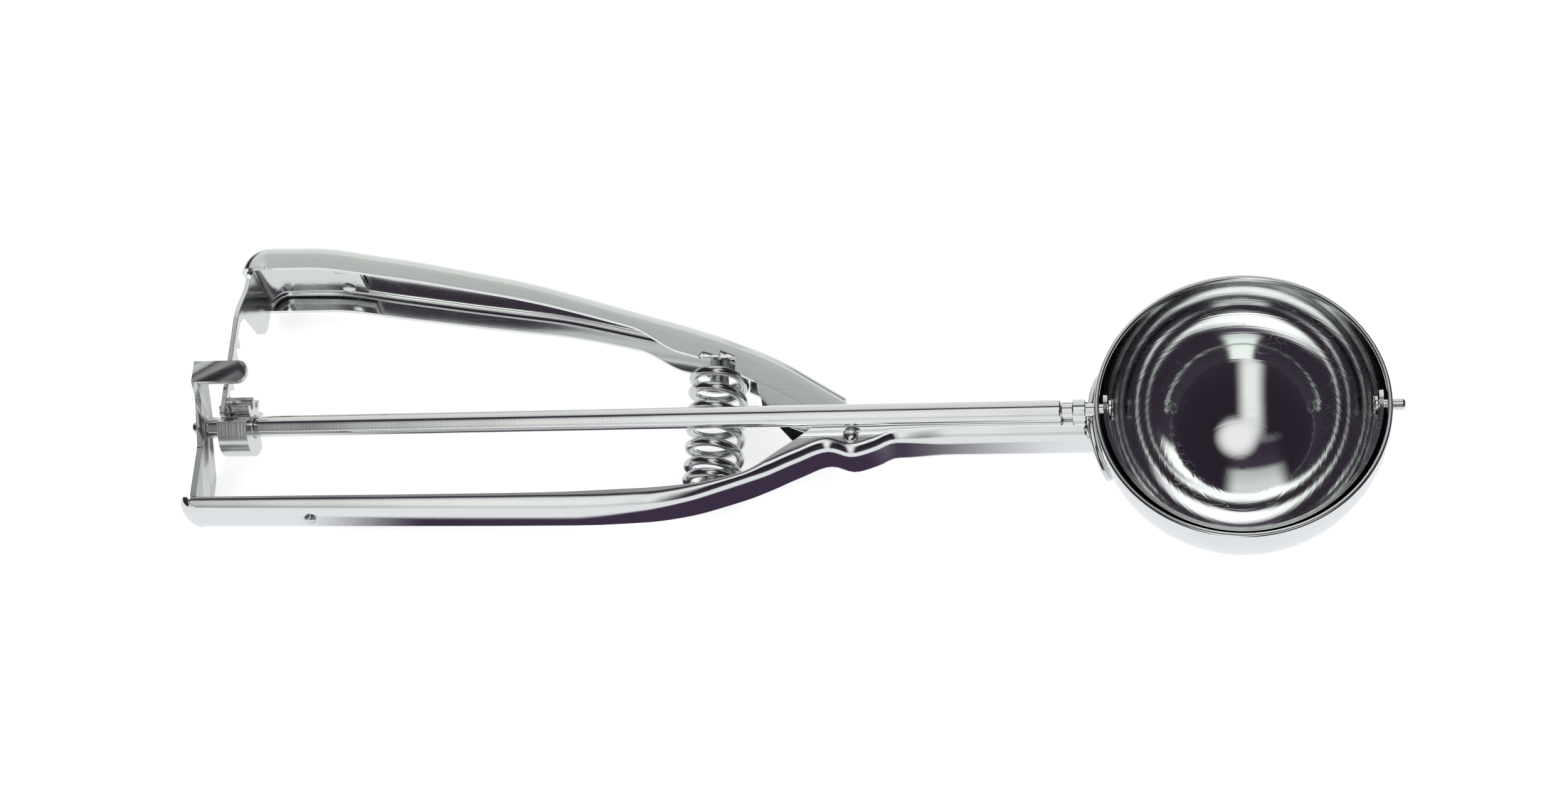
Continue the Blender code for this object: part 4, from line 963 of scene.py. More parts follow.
def coil_tree() -> GroupBuilder:
    """Build the tree that winds a wire about Y, with one closed turn at each end.

    Returns:
        The tree, with the sizes of the coil as its inputs.
    """
    floats = ("Wire Radius", "Coil Radius", "Turns", "Closed Pitch", "Length")
    inputs = {name: "NodeSocketFloat" for name in floats}
    inputs["Points"] = "NodeSocketInt"
    inputs["Material"] = "NodeSocketMaterial"
    tree = GroupBuilder("wound_wire", inputs)
    given = tree.given
    line = tree.add("GeometryNodeCurvePrimitiveLine", inputs={"End": (0.0, 1.0, 0.0)})
    fine = tree.add(
        "GeometryNodeResampleCurve", inputs={"Curve": line.outputs[0], "Count": given["Points"]}
    )
    share = tree.add("GeometryNodeSplineParameter").outputs["Factor"]
    turn = tree.maths("MULTIPLY", share, given["Turns"])
    last = tree.maths("SUBTRACT", given["Turns"], 1.0)
    ended = tree.maths("MAXIMUM", tree.maths("SUBTRACT", turn, last), 0.0)
    closed = tree.maths("ADD", tree.maths("MINIMUM", turn, 1.0), ended)
    open_turns = tree.maths("SUBTRACT", given["Turns"], 2.0)
    spare = tree.maths("MULTIPLY_ADD", given["Closed Pitch"], -2.0, given["Length"])
    pitch = tree.maths("DIVIDE", spare, open_turns)
    opened = tree.maths("MULTIPLY", tree.maths("SUBTRACT", turn, closed), pitch)
    height = tree.maths("MULTIPLY_ADD", closed, given["Closed Pitch"], opened)
    angle = tree.maths("MULTIPLY", turn, 2 * math.pi)
    x = tree.maths("MULTIPLY", tree.maths("COSINE", angle), given["Coil Radius"])
    z = tree.maths("MULTIPLY", tree.maths("SINE", angle), given["Coil Radius"])
    place = tree.add("ShaderNodeCombineXYZ", inputs={"X": x, "Y": height, "Z": z})
    wound = tree.add(
        "GeometryNodeSetPosition", inputs={"Geometry": fine.outputs[0], "Position": place.outputs[0]}
    )
    ring = tree.add(
        "GeometryNodeCurvePrimitiveCircle", inputs={"Resolution": 16, "Radius": given["Wire Radius"]}
    )
    wire = tree.add(
        "GeometryNodeCurveToMesh",
        inputs={"Curve": wound.outputs[0], "Profile Curve": ring.outputs[0], "Fill Caps": True},
    )
    tree.end(wire.outputs[0])
    return tree


def rivet_tree() -> GroupBuilder:
    """Build the tree that sets one rivet at each point of a mesh.

    Returns:
        The tree, with the rivet as its input.
    """
    tree = GroupBuilder("set_rivets", {"Rivet": "NodeSocketObject", "Material": "NodeSocketMaterial"})
    rivet = tree.add("GeometryNodeObjectInfo", inputs={"Object": tree.given["Rivet"]})
    placed = tree.add(
        "GeometryNodeInstanceOnPoints",
        inputs={"Points": tree.given["Geometry"], "Instance": rivet.outputs["Geometry"]},
    )
    tree.end(placed.outputs[0])
    return tree


@dataclass
class RivetSet:
    """Small peened rivets that stand along Y."""

    head_radius: float = 1.4
    head_height: float = 0.5
    fillet: float = 0.1

    def make(self, name: str, places: Knots, head_y: float, tail_y: float) -> bpy.types.Object:
        """Set rivets at (x, z) places.

        Args:
            name: The piece's name.
            places: Where the rivets stand.
            head_y: Y of the face that the heads sit on.
            tail_y: Y of the face that the tails sit on.

        Returns:
            The rivets as one object.
        """
        shank = SIZES.rivet_radius
        span = abs(head_y - tail_y) / 2 + SIZES.gap
        half = [(r, span + h) for r, h in peened_head(self.head_radius, self.head_height)]
        half += [(shank + self.fillet, span), (shank, span - self.fillet)]
        profile = half + [(r, -h) for r, h in reversed(half)]
        stand = Matrix.Rotation(math.radians(90.0), 4, "X")
        one = lathe("one_rivet", profile, stand, 40)
        middle = (head_y + tail_y) / 2
        points = new_object(name, [(x, middle, z) for x, z in places], [], closed=False)
        tree = rivet_tree()
        tree.apply(points, {"Rivet": one, "Material": Finishes.rivet.material()})
        bpy.data.objects.remove(one)
        return points


# Pressed channels.
@dataclass
class Channel:
    """A pressed channel whose rear end curls round into an end wall."""

    end_x: float
    front_x: float
    side: int
    curl: float
    web: Curve
    depth: Curve
    half_height: Curve
    step: float = 1.1
    corner_steps: int = 9
    curl_steps: int = 14
    flange_gap: float = 0.6
    edge: float = 0.28
    corner_growth: float = 0.35
    corner_share: float = 0.8
    flange_steps: int = 3
    web_steps: int = 4
    shoulder: Curve = lambda x: SIZES.channel_corner

    def section(self, web: Vector, inward: Vector, depth: float, mid: float, half: float) -> list[Vector]:
        """Return one C section, from the upper free edge to the lower one.

        Args:
            web: The place of the web's outer face.
            inward: The direction from the web into the channel.
            depth: How deep the flanges are.
            mid: Height of the middle plane.
            half: Half the height of the section.

        Returns:
            The section's points.
        """
        shoulder = self.shoulder(web.x)
        spare = self.corner_growth * (shoulder - SIZES.channel_corner)
        corner = min(SIZES.channel_corner + spare, self.corner_share * depth)
        flange, web_steps = self.flange_steps, self.web_steps
        upper = [(depth + (corner - depth) * k / flange, half) for k in range(flange)]
        for angle in quarter_turn(self.corner_steps):
            upper.append((corner * (1 - math.sin(angle)), half - shoulder * (1 - math.cos(angle))))
        inner = half - shoulder
        across = [(0.0, inner * (1 - k / web_steps)) for k in range(1, web_steps)]
        lower = [(reach, -rise) for reach, rise in reversed(upper + across)]
        points = upper + across + [(0.0, 0.0)] + lower
        return [web + inward * reach + Vector((0.0, 0.0, mid + rise)) for reach, rise in points]

    def rows(self) -> list[list[Vector]]:
        """Return the sections from the curled end to the front.

        Returns:
            One row of points for each section.
        """
        curl_x = self.end_x + self.curl
        centre = Vector((curl_x, self.web(curl_x) + self.side * self.curl, 0.0))
        rows = []
        for i in range(self.curl_steps):
            angle = math.pi / 2 * (1 - i / self.curl_steps)
            inward = Vector((math.sin(angle), self.side * math.cos(angle), 0.0))
            web = centre - inward * self.curl
            depth = self.curl - self.flange_gap
            rows.append(self.section(web, inward, depth, channel_mid(web.x), self.half_height(web.x)))
        count = round((self.front_x - curl_x) / self.step)
        inward = Vector((0.0, self.side, 0.0))
        for i in range(count + 1):
            x = curl_x + (self.front_x - curl_x) * i / count
            web = Vector((x, self.web(x), 0.0))
            rows.append(self.section(web, inward, self.depth(x), channel_mid(x), self.half_height(x)))
        return rows

    def make(self, name: str) -> bpy.types.Object:
        """Return the channel as a sheet with eased edges.

        Args:
            name: The object's name.

        Returns:
            The closed solid.
        """
        made = grid(name, self.rows(), flip=self.side < 0)
        sheet(made, SIZES.sheet, -1.0)
        ease(made, self.edge)
        settle_modifiers(made)
        return made


# The scoop's sub-assemblies.
@dataclass
class BowlEnd:
    """The bowl, its saddle and the bush that carries the shaft."""

    collar: float = 1.8
    rim_round: float = 0.38
    saddle_width: float = 12.0
    saddle_height: float = 7.2
    saddle_rings: int = 14
    saddle_spokes: int = 96
    bush_wall: float = 0.55
    arc_steps: int = 56

    def bowl(self) -> None:
        """Spin the bowl, round its rim and pierce it for the shaft and the front pin."""
        s = SIZES
        inner, outer = s.bowl_radius - s.bowl_wall, s.bowl_radius
        angles = quarter_turn(self.arc_steps)
        inside = [(inner * math.sin(a), -inner * math.cos(a)) for a in angles]
        outside = [(outer * math.sin(a), -outer * math.cos(a)) for a in angles]
        inside[0], outside[0] = (0.0, -inner), (0.0, -outer)
        lip = rounded(
            [
                (inner, 0.0, 0.0),
                (inner, self.collar, self.rim_round),
                (outer, self.collar, self.rim_round),
                (outer, 0.0, 0.0),
            ],
            closed=False,
            step=15.0,
        )
        profile = inside + [tuple(p) for p in lip[1:-1]] + outside[::-1]
        made = lathe("scoop_bowl", profile, Matrix.Identity(4), 224)
        reach = outer + 5.0
        cut(made, rod("hole", s.front_journal + s.gap, (-reach, 0, 0), (0, 0, 0)))
        cut(made, rod("hole", s.pin_radius + s.gap, (0, 0, 0), (reach, 0, 0)))
        hand_in(made, Finishes.bowl, Body.FRAME, "bowl")

    def saddle(self) -> None:
        """Press the oval plate that joins the bowl to the neck."""
        s = SIZES
        rings, spokes = self.saddle_rings, self.saddle_spokes
        middle = math.asin(s.neck_mid / s.saddle_outside)
        half_turn = self.saddle_width / s.saddle_outside
        half_lift = self.saddle_height / s.saddle_outside

        def on_ball(turn: float, lift: float) -> tuple[float, float, float]:
            """Return the point of the saddle's outer face at this turn and lift."""
            level = s.saddle_outside * math.cos(lift)
            return (-level * math.cos(turn), level * math.sin(turn), s.saddle_outside * math.sin(lift))

        vertices = [on_ball(0.0, middle)]
        faces = []
        for ring in range(1, rings + 1):
            share = ring / rings
            for spoke in range(spokes):
                angle = 2 * math.pi * spoke / spokes
                turn = half_turn * share * math.cos(angle)
                vertices.append(on_ball(turn, middle + half_lift * share * math.sin(angle)))
        for spoke in range(spokes):
            after = (spoke + 1) % spokes
            faces.append([0, 1 + after, 1 + spoke])
            for ring in range(rings - 1):
                near = 1 + ring * spokes
                far = near + spokes
                faces.append([near + spoke, near + after, far + after, far + spoke])
        made = new_object("bowl_saddle_plate", vertices, faces, closed=False)
        sheet(made, s.saddle_thickness, -1.0)
        ease(made, 0.3)
        settle_modifiers(made)
        cut(made, rod("hole", s.front_journal + s.gap, (-2 * s.bowl_radius, 0, 0), (0, 0, 0)))
        hand_in(made, Finishes.saddle, Body.FRAME, "bowl_saddle")

    def bush(self) -> None:
        """Turn the short bearing bush."""
        s = SIZES
        front = -(s.saddle_outside + s.gap)
        rear = front - s.bush_length
        bore = s.front_journal + s.gap
        outer = bore + self.bush_wall
        ring = rounded(
            [(bore, front, 0.1), (outer, front, 0.2), (outer, rear, 0.35), (bore, rear, 0.12)], step=15.0
        )
        profile = [tuple(p) for p in ring]
        made = lathe("front_bearing_bush", profile + profile[:1], along_x(), 72)
        hand_in(made, Finishes.bush, Body.FRAME, "front_bush")

    def build(self) -> None:
        """Make every piece of the bowl's end."""
        self.bowl()
        self.saddle()
        self.bush()


@dataclass
class FixedHandle:
    """The fixed handle with the neck, the rear bracket and its rivet."""

    low_z: float = -9.1
    high_z: float = 1.1
    finger_start: float = 5.2
    finger_width: float = 4.6
    finger_length: float = 11.0
    lobe_wall: float = 2.1
    rear_shoulder: float = 4.9
    neck_shoulder: float = 3.8
    foot_half: float = 1.9
    foot_lift: float = 0.3
    neck_end: float = 0.8
    web: Curve = field(default_factory=fixed_web_line)

    def rivet_place(self) -> tuple[float, float]:
        """Return (x, z) of the rivet in the bracket's foot."""
        x = SIZES.bracket_rivet_x
        return x, channel_mid(x) + SIZES.bracket_rivet_lift

    def edge_line(self) -> Curve:
        """Return Y of the free edges of the flanges along X.

        Returns:
            The line, which rises to the neck's edge at the pivot.
        """
        s = SIZES
        knots = on_rear((0.8, -15.5), (0.27, -14.7), (0.12, -14.0), (0.0, -13.2))
        knots += [(-96.0, -10.7), (-88.4, -5.7), (-83.2, -1.8)]
        knots += [(s.handle_end, s.fixed_web + s.fixed_curl)]
        knots += [(s.pivot_x - 3.0, s.neck_edge), (0.0, s.neck_edge)]
        return smooth(knots)

    def shoulder_line(self) -> Curve:
        """Return how far the section's corners reach up the web, all but round along the grip."""
        sharp = SIZES.channel_corner
        knots = [(-128.0, self.rear_shoulder), (-102.0, sharp), (-66.0, sharp)]
        return smooth(knots + [(-56.0, self.neck_shoulder), (0.0, self.neck_shoulder)])

    def handle(self) -> None:
        """Press the handle and cut its neck to the saddle, its holes and the spring's place."""
        s = SIZES
        edge = self.edge_line()
        channel = Channel(
            end_x=s.handle_end,
            front_x=-s.bowl_radius * self.neck_end,
            side=1,
            curl=s.fixed_curl,
            web=self.web,
            depth=lambda x: edge(x) - self.web(x),
            half_height=lambda x: s.fixed_height / 2,
            shoulder=self.shoulder_line(),
        )
        made = channel.make("fixed_handle_pressing")
        radius = s.saddle_outside + s.gap
        arc = [math.pi * k / 96 for k in range(97)]
        ball = [(radius * math.sin(a), -radius * math.cos(a)) for a in arc]
        ball[0], ball[-1] = (0.0, -radius), (0.0, radius)
        cut(made, lathe("ball", ball, Matrix.Identity(4), 128))
        cut(made, pivot_hole())
        relief_low = (s.spring_x, s.spring_low - s.gap, s.spring_z)
        cut(made, rod("relief", s.spring_radius + s.gap, relief_low, (s.spring_x, s.neck_edge, s.spring_z)))
        x, z = self.rivet_place()
        ends = [(x, s.fixed_web + side * 2 * s.sheet, z) for side in (-1, 1)]
        cut(made, rod("hole", s.rivet_radius + s.gap, *ends))
        hand_in(made, Finishes.fixed, Body.FRAME, "fixed_handle")

    def bracket(self) -> None:
        """Cut and bend the rear bracket, with its foot and the finger over the rack."""
        s = SIZES
        thick = s.bracket
        rear, front = s.bracket_rear, s.bracket_rear + thick
        leg_y = s.fixed_web + s.sheet + s.gap
        mid = channel_mid(rear + s.bracket_foot / 2)
        edge = s.fixed_web + s.fixed_curl + s.gap
        finger_low = s.rack_top + 2 * s.gap
        finger_end = self.finger_start + self.finger_width
        lobe = s.rear_journal + s.gap + self.lobe_wall
        outline = rounded(
            [
                (leg_y, mid + self.foot_lift - self.foot_half, 0.0),
                (edge, mid + self.foot_lift - self.foot_half, 0.0),
                (edge, self.low_z, 0.5),
                (-2.3 * lobe, self.low_z, 3.0),
                (-0.2 * lobe, -1.2 * lobe, 2.0),
                (1.1 * lobe, -0.6 * lobe, 2.0),
                (finger_end, finger_end * 0.5, 2.0),
                (finger_end, finger_low + thick, 0.0),
                (self.finger_start, finger_low + thick, 0.0),
                (1.1 * lobe, 2.0 * lobe, 1.5),
                (-0.5 * lobe, lobe, 2.0),
                (-1.5 * lobe, self.high_z, 2.0),
                (edge, self.high_z, 0.5),
                (edge, mid + self.foot_lift + self.foot_half, 0.0),
                (leg_y, mid + self.foot_lift + self.foot_half, 0.0),
            ]
        )
        made = plate("rear_bearing_bracket", outline, thick, yz_plane((rear + front) / 2))
        leg_end = rear + s.bracket_foot
        leg = rounded(
            [
                (rear, leg_y, thick * 0.8),
                (leg_end, leg_y, 0.0),
                (leg_end, leg_y + thick, 0.0),
                (front, leg_y + thick, 0.0),
                (front, leg_y + 1.6 * thick, 0.0),
                (rear, leg_y + 1.6 * thick, 0.0),
            ]
        )
        cut(made, plate("leg", leg, 2 * self.foot_half, xy_plane(mid + self.foot_lift)), join=True)
        finger = rounded(
            [
                (rear, self.finger_start, 0.0),
                (rear + self.finger_length, self.finger_start, 2.0),
                (rear + self.finger_length, finger_end, 2.0),
                (rear, finger_end, 0.0),
            ]
        )
        cut(made, plate("finger", finger, thick, xy_plane(finger_low + thick / 2)), join=True)
        cut(made, rod("hole", s.rear_journal + s.gap, (rear - thick, 0, 0), (front + thick, 0, 0)))
        x, z = self.rivet_place()
        cut(made, rod("hole", s.rivet_radius + s.gap, (x, leg_y - thick, z), (x, leg_y + 2 * thick, z)))
        ease(made, 0.16, angle=50.0)
        hand_in(made, Finishes.bracket, Body.FRAME, "rear_bracket")
        rivet = RivetSet(head_radius=1.2).make("bracket_spot", [(x, z)], s.fixed_web, leg_y + thick)
        hand_in(rivet, Finishes.rivet, Body.FRAME, "bracket_rivet")

    def build(self) -> None:
        """Make every piece of the fixed handle."""
        self.handle()
        self.bracket()


@dataclass
class MovingHandle:
    """The handle that is squeezed, with the toothed rack in its rear end."""

    lug_front: float = 1.5
    lug_rear: float = 1.2
    lug_setback: float = 0.03
    lug_shoulder: Triple = (1.5, 10.5, 2.0)
    lug_waist: tuple[Triple, ...] = ((-12.5, 3.3, 4.0), (-6.5, 0.8, 1.0))
    lug_arc: range = range(-135, 31, 7)
    rack_foot_width: float = 12.0
    rack_tip_y: float = -1.2
    rack_addendum: float = 0.85
    blade_turn: float = 165.0
    swing_gain: float = 1.006
    rivet_spacing: float = 8.0
    shoulder_knots: tuple[Point2, ...] = ((4.5, 0.0), (2.5, 1.0), (1.0, 3.4))
    notch_start: float = 4.0
    notch_steps: int = 15
    strap_run: float = 8.0
    foot_steps: int = 12
    strap_steps: int = 4
    web: Curve = field(default_factory=moving_web_line)
    half_height: Curve = field(default_factory=moving_half_line)

    def rivet_places(self) -> list[tuple[float, float]]:
        """Return (x, z) of the two rivets of the rack's foot, the upper one first."""
        x = SIZES.rack_rivet_x
        mid = channel_mid(x)
        return [(x, mid + side * self.rivet_spacing / 2) for side in (1, -1)]

    def lug_outline(self) -> list:
        """Return the outline of one lug in (X, Y), from the web to the rivet.

        Returns:
            The outline's points.
        """
        s = SIZES
        rear_x = s.spring_x + s.spring_radius + self.lug_rear
        front_x = s.pivot_x - self.lug_front
        over, up, corner = self.lug_shoulder
        lug = [(rear_x, self.web(rear_x) - s.channel_corner, 0.0)]
        lug.append((rear_x + over, s.pivot_y + up, corner))
        lug += [(s.pivot_x + x, s.pivot_y + y, corner) for x, y, corner in self.lug_waist]
        for degrees in self.lug_arc:
            angle = math.radians(degrees)
            x = s.pivot_x + s.lug_radius * math.cos(angle)
            lug.append((x, s.pivot_y + s.lug_radius * math.sin(angle), 0.0))
        lug.append((front_x, self.web(front_x) - s.channel_corner, 0.0))
        middle = (rear_x + front_x) / 2
        lug.append((middle, self.web(middle) - s.channel_corner - s.sheet / 2, 0.0))
        return rounded(lug)

    def handle(self) -> None:
        """Press the handle, with a lug on each side of the rivet."""
        s = SIZES
        knots = on_rear((0.372, 4.8), (0.12, 4.2), (0.02, 6.8))
        knots += [(-103.0, 6.6), (-95.0, 7.6), (-76.5, 7.6), (s.moving_end, s.moving_curl)]
        depth = smooth(knots)
        channel = Channel(
            end_x=s.moving_end,
            front_x=s.pivot_x - self.lug_front,
            side=-1,
            curl=s.moving_curl,
            web=self.web,
            depth=depth,
            half_height=self.half_height,
        )
        made = channel.make("moving_handle_pressing")
        thin = s.sheet - 2 * self.lug_setback
        for side in (1, -1):
            z = s.neck_mid + side * (s.lug_height - s.sheet) / 2
            lug = plate("lug", self.lug_outline(), thin, xy_plane(z))
            cut(made, lug, join=True)
        cut(made, pivot_hole())
        relief_high = (s.spring_x, s.spring_high + s.gap, s.spring_z)
        cut(made, rod("relief", s.spring_radius + s.gap, (s.spring_x, s.pivot_y, s.spring_z), relief_high))
        for x, z in self.rivet_places():
            ends = [(x, s.moving_web - 4 * s.sheet, z), (x, s.moving_web + 2 * s.sheet, z)]
            cut(made, rod("hole", s.rivet_radius + s.gap, *ends))
        hand_in(made, Finishes.moving, Body.HANDLE, "moving_handle")

    def foot_y(self, x: float) -> float:
        """Return Y of the middle of the rack's foot, inside the web."""
        return self.web(x) - SIZES.sheet - SIZES.gap - SIZES.sheet / 2

    def travel(self) -> float:
        """Return how far the rack moves past the pinion over the whole squeeze.

        Returns:
            The travel along Y.
        """
        s = SIZES
        reach = s.pivot_x - s.rack_x
        ratio = reach / s.pinion_pitch * self.swing_gain
        return reach * math.tan(math.radians(self.blade_turn / ratio))

    def teeth(self) -> list[Point2]:
        """Return (y, z) points along the toothed edge, from the foot to the tip.

        Returns:
            Four points for each tooth, then the strap's tip.
        """
        s = SIZES
        pitch = math.pi * s.module
        slope = math.tan(math.radians(s.pressure_angle))
        tip_z = s.pinion_pitch - self.rack_addendum * s.module
        root_z = s.rack_root
        half_tip = (pitch / 2 - s.backlash / 2) / 2 - (s.pinion_pitch - tip_z) * slope
        half_root = half_tip + (root_z - tip_z) * slope
        count = math.ceil((self.travel() + pitch - self.rack_tip_y) / pitch)
        points = []
        for tooth in reversed(range(count)):
            centre = pitch * tooth
            points += [(centre + half_root, root_z), (centre + half_tip, tip_z)]
            points += [(centre - half_tip, tip_z), (centre - half_root, root_z)]
        return [p for p in points if p[0] > self.rack_tip_y] + [(self.rack_tip_y, root_z)]

    def low_edge(self) -> list[Point2]:
        """Return (y, z) points of the rack's low edge, from the foot down to the tip.

        Returns:
            The edge, with the notch that clears the pinion and the teeth after it.
        """
        s = SIZES
        teeth = self.teeth()
        relief = s.pinion_pitch + s.pinion_addendum * s.module + 3 * s.gap
        foot_z = channel_mid(s.rack_x) - self.rack_foot_width / 2
        centre = max(self.travel(), teeth[0][0])
        points = [(self.foot_y(s.rack_x) - s.rack_bend, foot_z)]
        points += [(centre + relief + y, foot_z + z) for y, z in self.shoulder_knots]
        for k in range(self.notch_steps + 1):
            angle = math.radians(self.notch_start + (90.0 - self.notch_start) * k / self.notch_steps)
            z = relief * math.sin(angle)
            if z < s.rack_root:
                points.append((centre + relief * math.cos(angle), z))
        return [p for p in points if p[0] > teeth[0][0] + CLEAR_OF_TEETH] + teeth

    def rack_rows(self) -> list[list[Vector]]:
        """Return the rows of the rack's middle surface, from the end of the foot to the tip.

        Returns:
            One row of points for each station, from the low edge to the high one.
        """
        s = SIZES
        low = self.low_edge()
        low_z = low[0][1]
        inside = channel_mid(s.rack_x) + self.half_height(s.rack_x) - s.sheet - 2 * s.gap
        emerging = (s.moving_web - s.moving_curl - s.gap, inside)
        strap = [(self.rack_tip_y, s.rack_top), (low[1][0] - self.strap_run, s.rack_top)]
        high = smooth(strap + [emerging, (low[0][0], inside)])
        foot_high = low_z + self.rack_foot_width
        bend, steps = s.rack_bend, self.foot_steps
        bend_x = s.rack_x + bend
        bend_y = self.foot_y(bend_x) - bend
        foot_end = s.rack_x + s.rack_foot
        rows = []
        for k in range(steps):
            x = foot_end + (bend_x - foot_end) * k / (steps - 1)
            rows.append((x, self.foot_y(x), low_z, foot_high))
        for k in range(1, steps):
            angle = math.pi / 2 * k / steps
            x = bend_x - bend * math.sin(angle)
            rise = foot_high + (inside - foot_high) * k / steps
            rows.append((x, bend_y + bend * math.cos(angle), low_z, rise))
        rows.append((s.rack_x, bend_y, low_z, inside))
        rows += [(s.rack_x, y, z, high(y)) for y, z in low if y < bend_y - CLEAR_OF_BEND]
        shares = [k / self.strap_steps for k in range(self.strap_steps + 1)]
        return [[Vector((x, y, z + (t - z) * share)) for share in shares] for x, y, z, t in rows]

    def rack(self) -> None:
        """Cut and bend the rack, and pierce its foot."""
        s = SIZES
        made = grid("toothed_rack", self.rack_rows())
        sheet(made, s.sheet, 0.0)
        ease(made, 0.1, segments=2, angle=50.0)
        settle_modifiers(made)
        middle = self.foot_y(s.rack_rivet_x)
        for x, z in self.rivet_places():
            cut(made, rod("hole", s.rivet_radius + s.gap, (x, middle - 2, z), (x, middle + 2, z)))
        hand_in(made, Finishes.rack, Body.HANDLE, "rack")
        for (x, z), node in zip(self.rivet_places(), ("rack_rivet_upper", "rack_rivet_lower")):
            rivet = RivetSet().make(node + "_spot", [(x, z)], self.web(x), middle - s.sheet / 2)
            hand_in(rivet, Finishes.rivet, Body.HANDLE, node)

    def build(self) -> None:
        """Make every piece of the moving handle."""
        self.handle()
        self.rack()


@dataclass
class Pivot:
    """The rivet that both handles turn on."""

    head_height: float = 0.7

    def build(self) -> None:
        """Turn the rivet with its two low domed heads."""
        s = SIZES
        top = s.neck_top + s.gap
        bottom = s.neck_top - s.fixed_height - s.gap
        head = peened_head(s.pivot_head, self.head_height)
        upper = [(r, top + h) for r, h in head]
        lower = [(r, bottom - h) for r, h in reversed(head)]
        profile = upper + [(s.pivot_radius, top), (s.pivot_radius, bottom)] + lower
        made = lathe("pivot_rivet_peened", profile, Matrix.Translation((s.pivot_x, s.pivot_y, 0)), 56)
        hand_in(made, Finishes.pivot, Body.FRAME, "pivot_rivet")


@dataclass
class ReturnSpring:
    """The coil that opens the handles, and the cups that hold its ends."""

    wire: float = 1.8
    turns: int = 7
    closed_pitch: float = 2.1
    points_per_turn: int = 48
    post_wall: float = 0.8
    post_reach: float = 3.5

    def coil(self) -> None:
        """Wind the spring, which stands between the two handles and rides on neither."""
        s = SIZES
        made = new_object("return_spring_coil", [(0, 0, 0)], [], closed=False)
        start = s.spring_low + self.wire / 2
        coil_tree().apply(
            made,
            {
                "Wire Radius": self.wire / 2,
                "Coil Radius": s.spring_radius - self.wire / 2,
                "Turns": float(self.turns),
                "Closed Pitch": self.closed_pitch,
                "Length": s.spring_high - self.wire / 2 - start,
                "Points": self.turns * self.points_per_turn + 1,
                "Material": Finishes.spring.material(),
            },
        )
        made.data.transform(Matrix.Translation((s.spring_x, start, s.spring_z)))
        hand_in(made, Finishes.spring, None, "return_spring")
        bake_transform(made)

    def post(self, node: str, web: Curve, half: Curve, side: int, reach: float, body: Body) -> None:
        """Draw the cup that stands inside one end of the spring.

        Args:
            node: The frame's node that it stands for.
            web: Y of the channel's web along X.
            half: Half the channel's height along X.
            side: +1 where the channel opens towards +Y, -1 where it opens towards -Y.
            reach: Y of the cup's mouth.
            body: What it rides on.
        """
        s = SIZES
        radius = half(s.spring_x) - s.sheet - abs(s.spring_z - s.neck_mid) - s.gap
        webs = [web(s.spring_x + shift) for shift in (-radius, radius)]
        seat = max(side * y for y in webs) * side + side * (s.sheet + 3 * s.gap)
        height = abs(reach - seat)
        hollow = radius - self.post_wall
        ring = [
            (0.0, self.post_wall, 0.0),
            (hollow, self.post_wall, 0.3),
            (hollow, height, 0.2),
            (radius, height, 0.25),
            (radius, 0.0, 0.25),
            (0.0, 0.0, 0.0),
        ]
        profile = [tuple(p) for p in rounded(ring, closed=False, step=18.0)]
        turn = Matrix.Rotation(math.radians(-90.0 if reach > seat else 90.0), 4, "X")
        made = lathe(node + "_cup", profile, Matrix.Translation((s.spring_x, seat, s.spring_z)) @ turn, 48)
        hand_in(made, Finishes.post, body, node)

    def build(self, fixed: FixedHandle, moving: MovingHandle) -> None:
        """Make the coil and both cups, each as wide as its handle lets it be.

        Args:
            fixed: The handle under the spring.
            moving: The handle over it.
        """
        s = SIZES
        self.coil()
        low, high = s.spring_low + self.post_reach, s.spring_high - self.post_reach
        self.post("spring_post_fixed", fixed.web, lambda x: s.fixed_height / 2, 1, low, Body.FRAME)
        self.post("spring_post_moving", moving.web, moving.half_height, -1, high, Body.HANDLE)


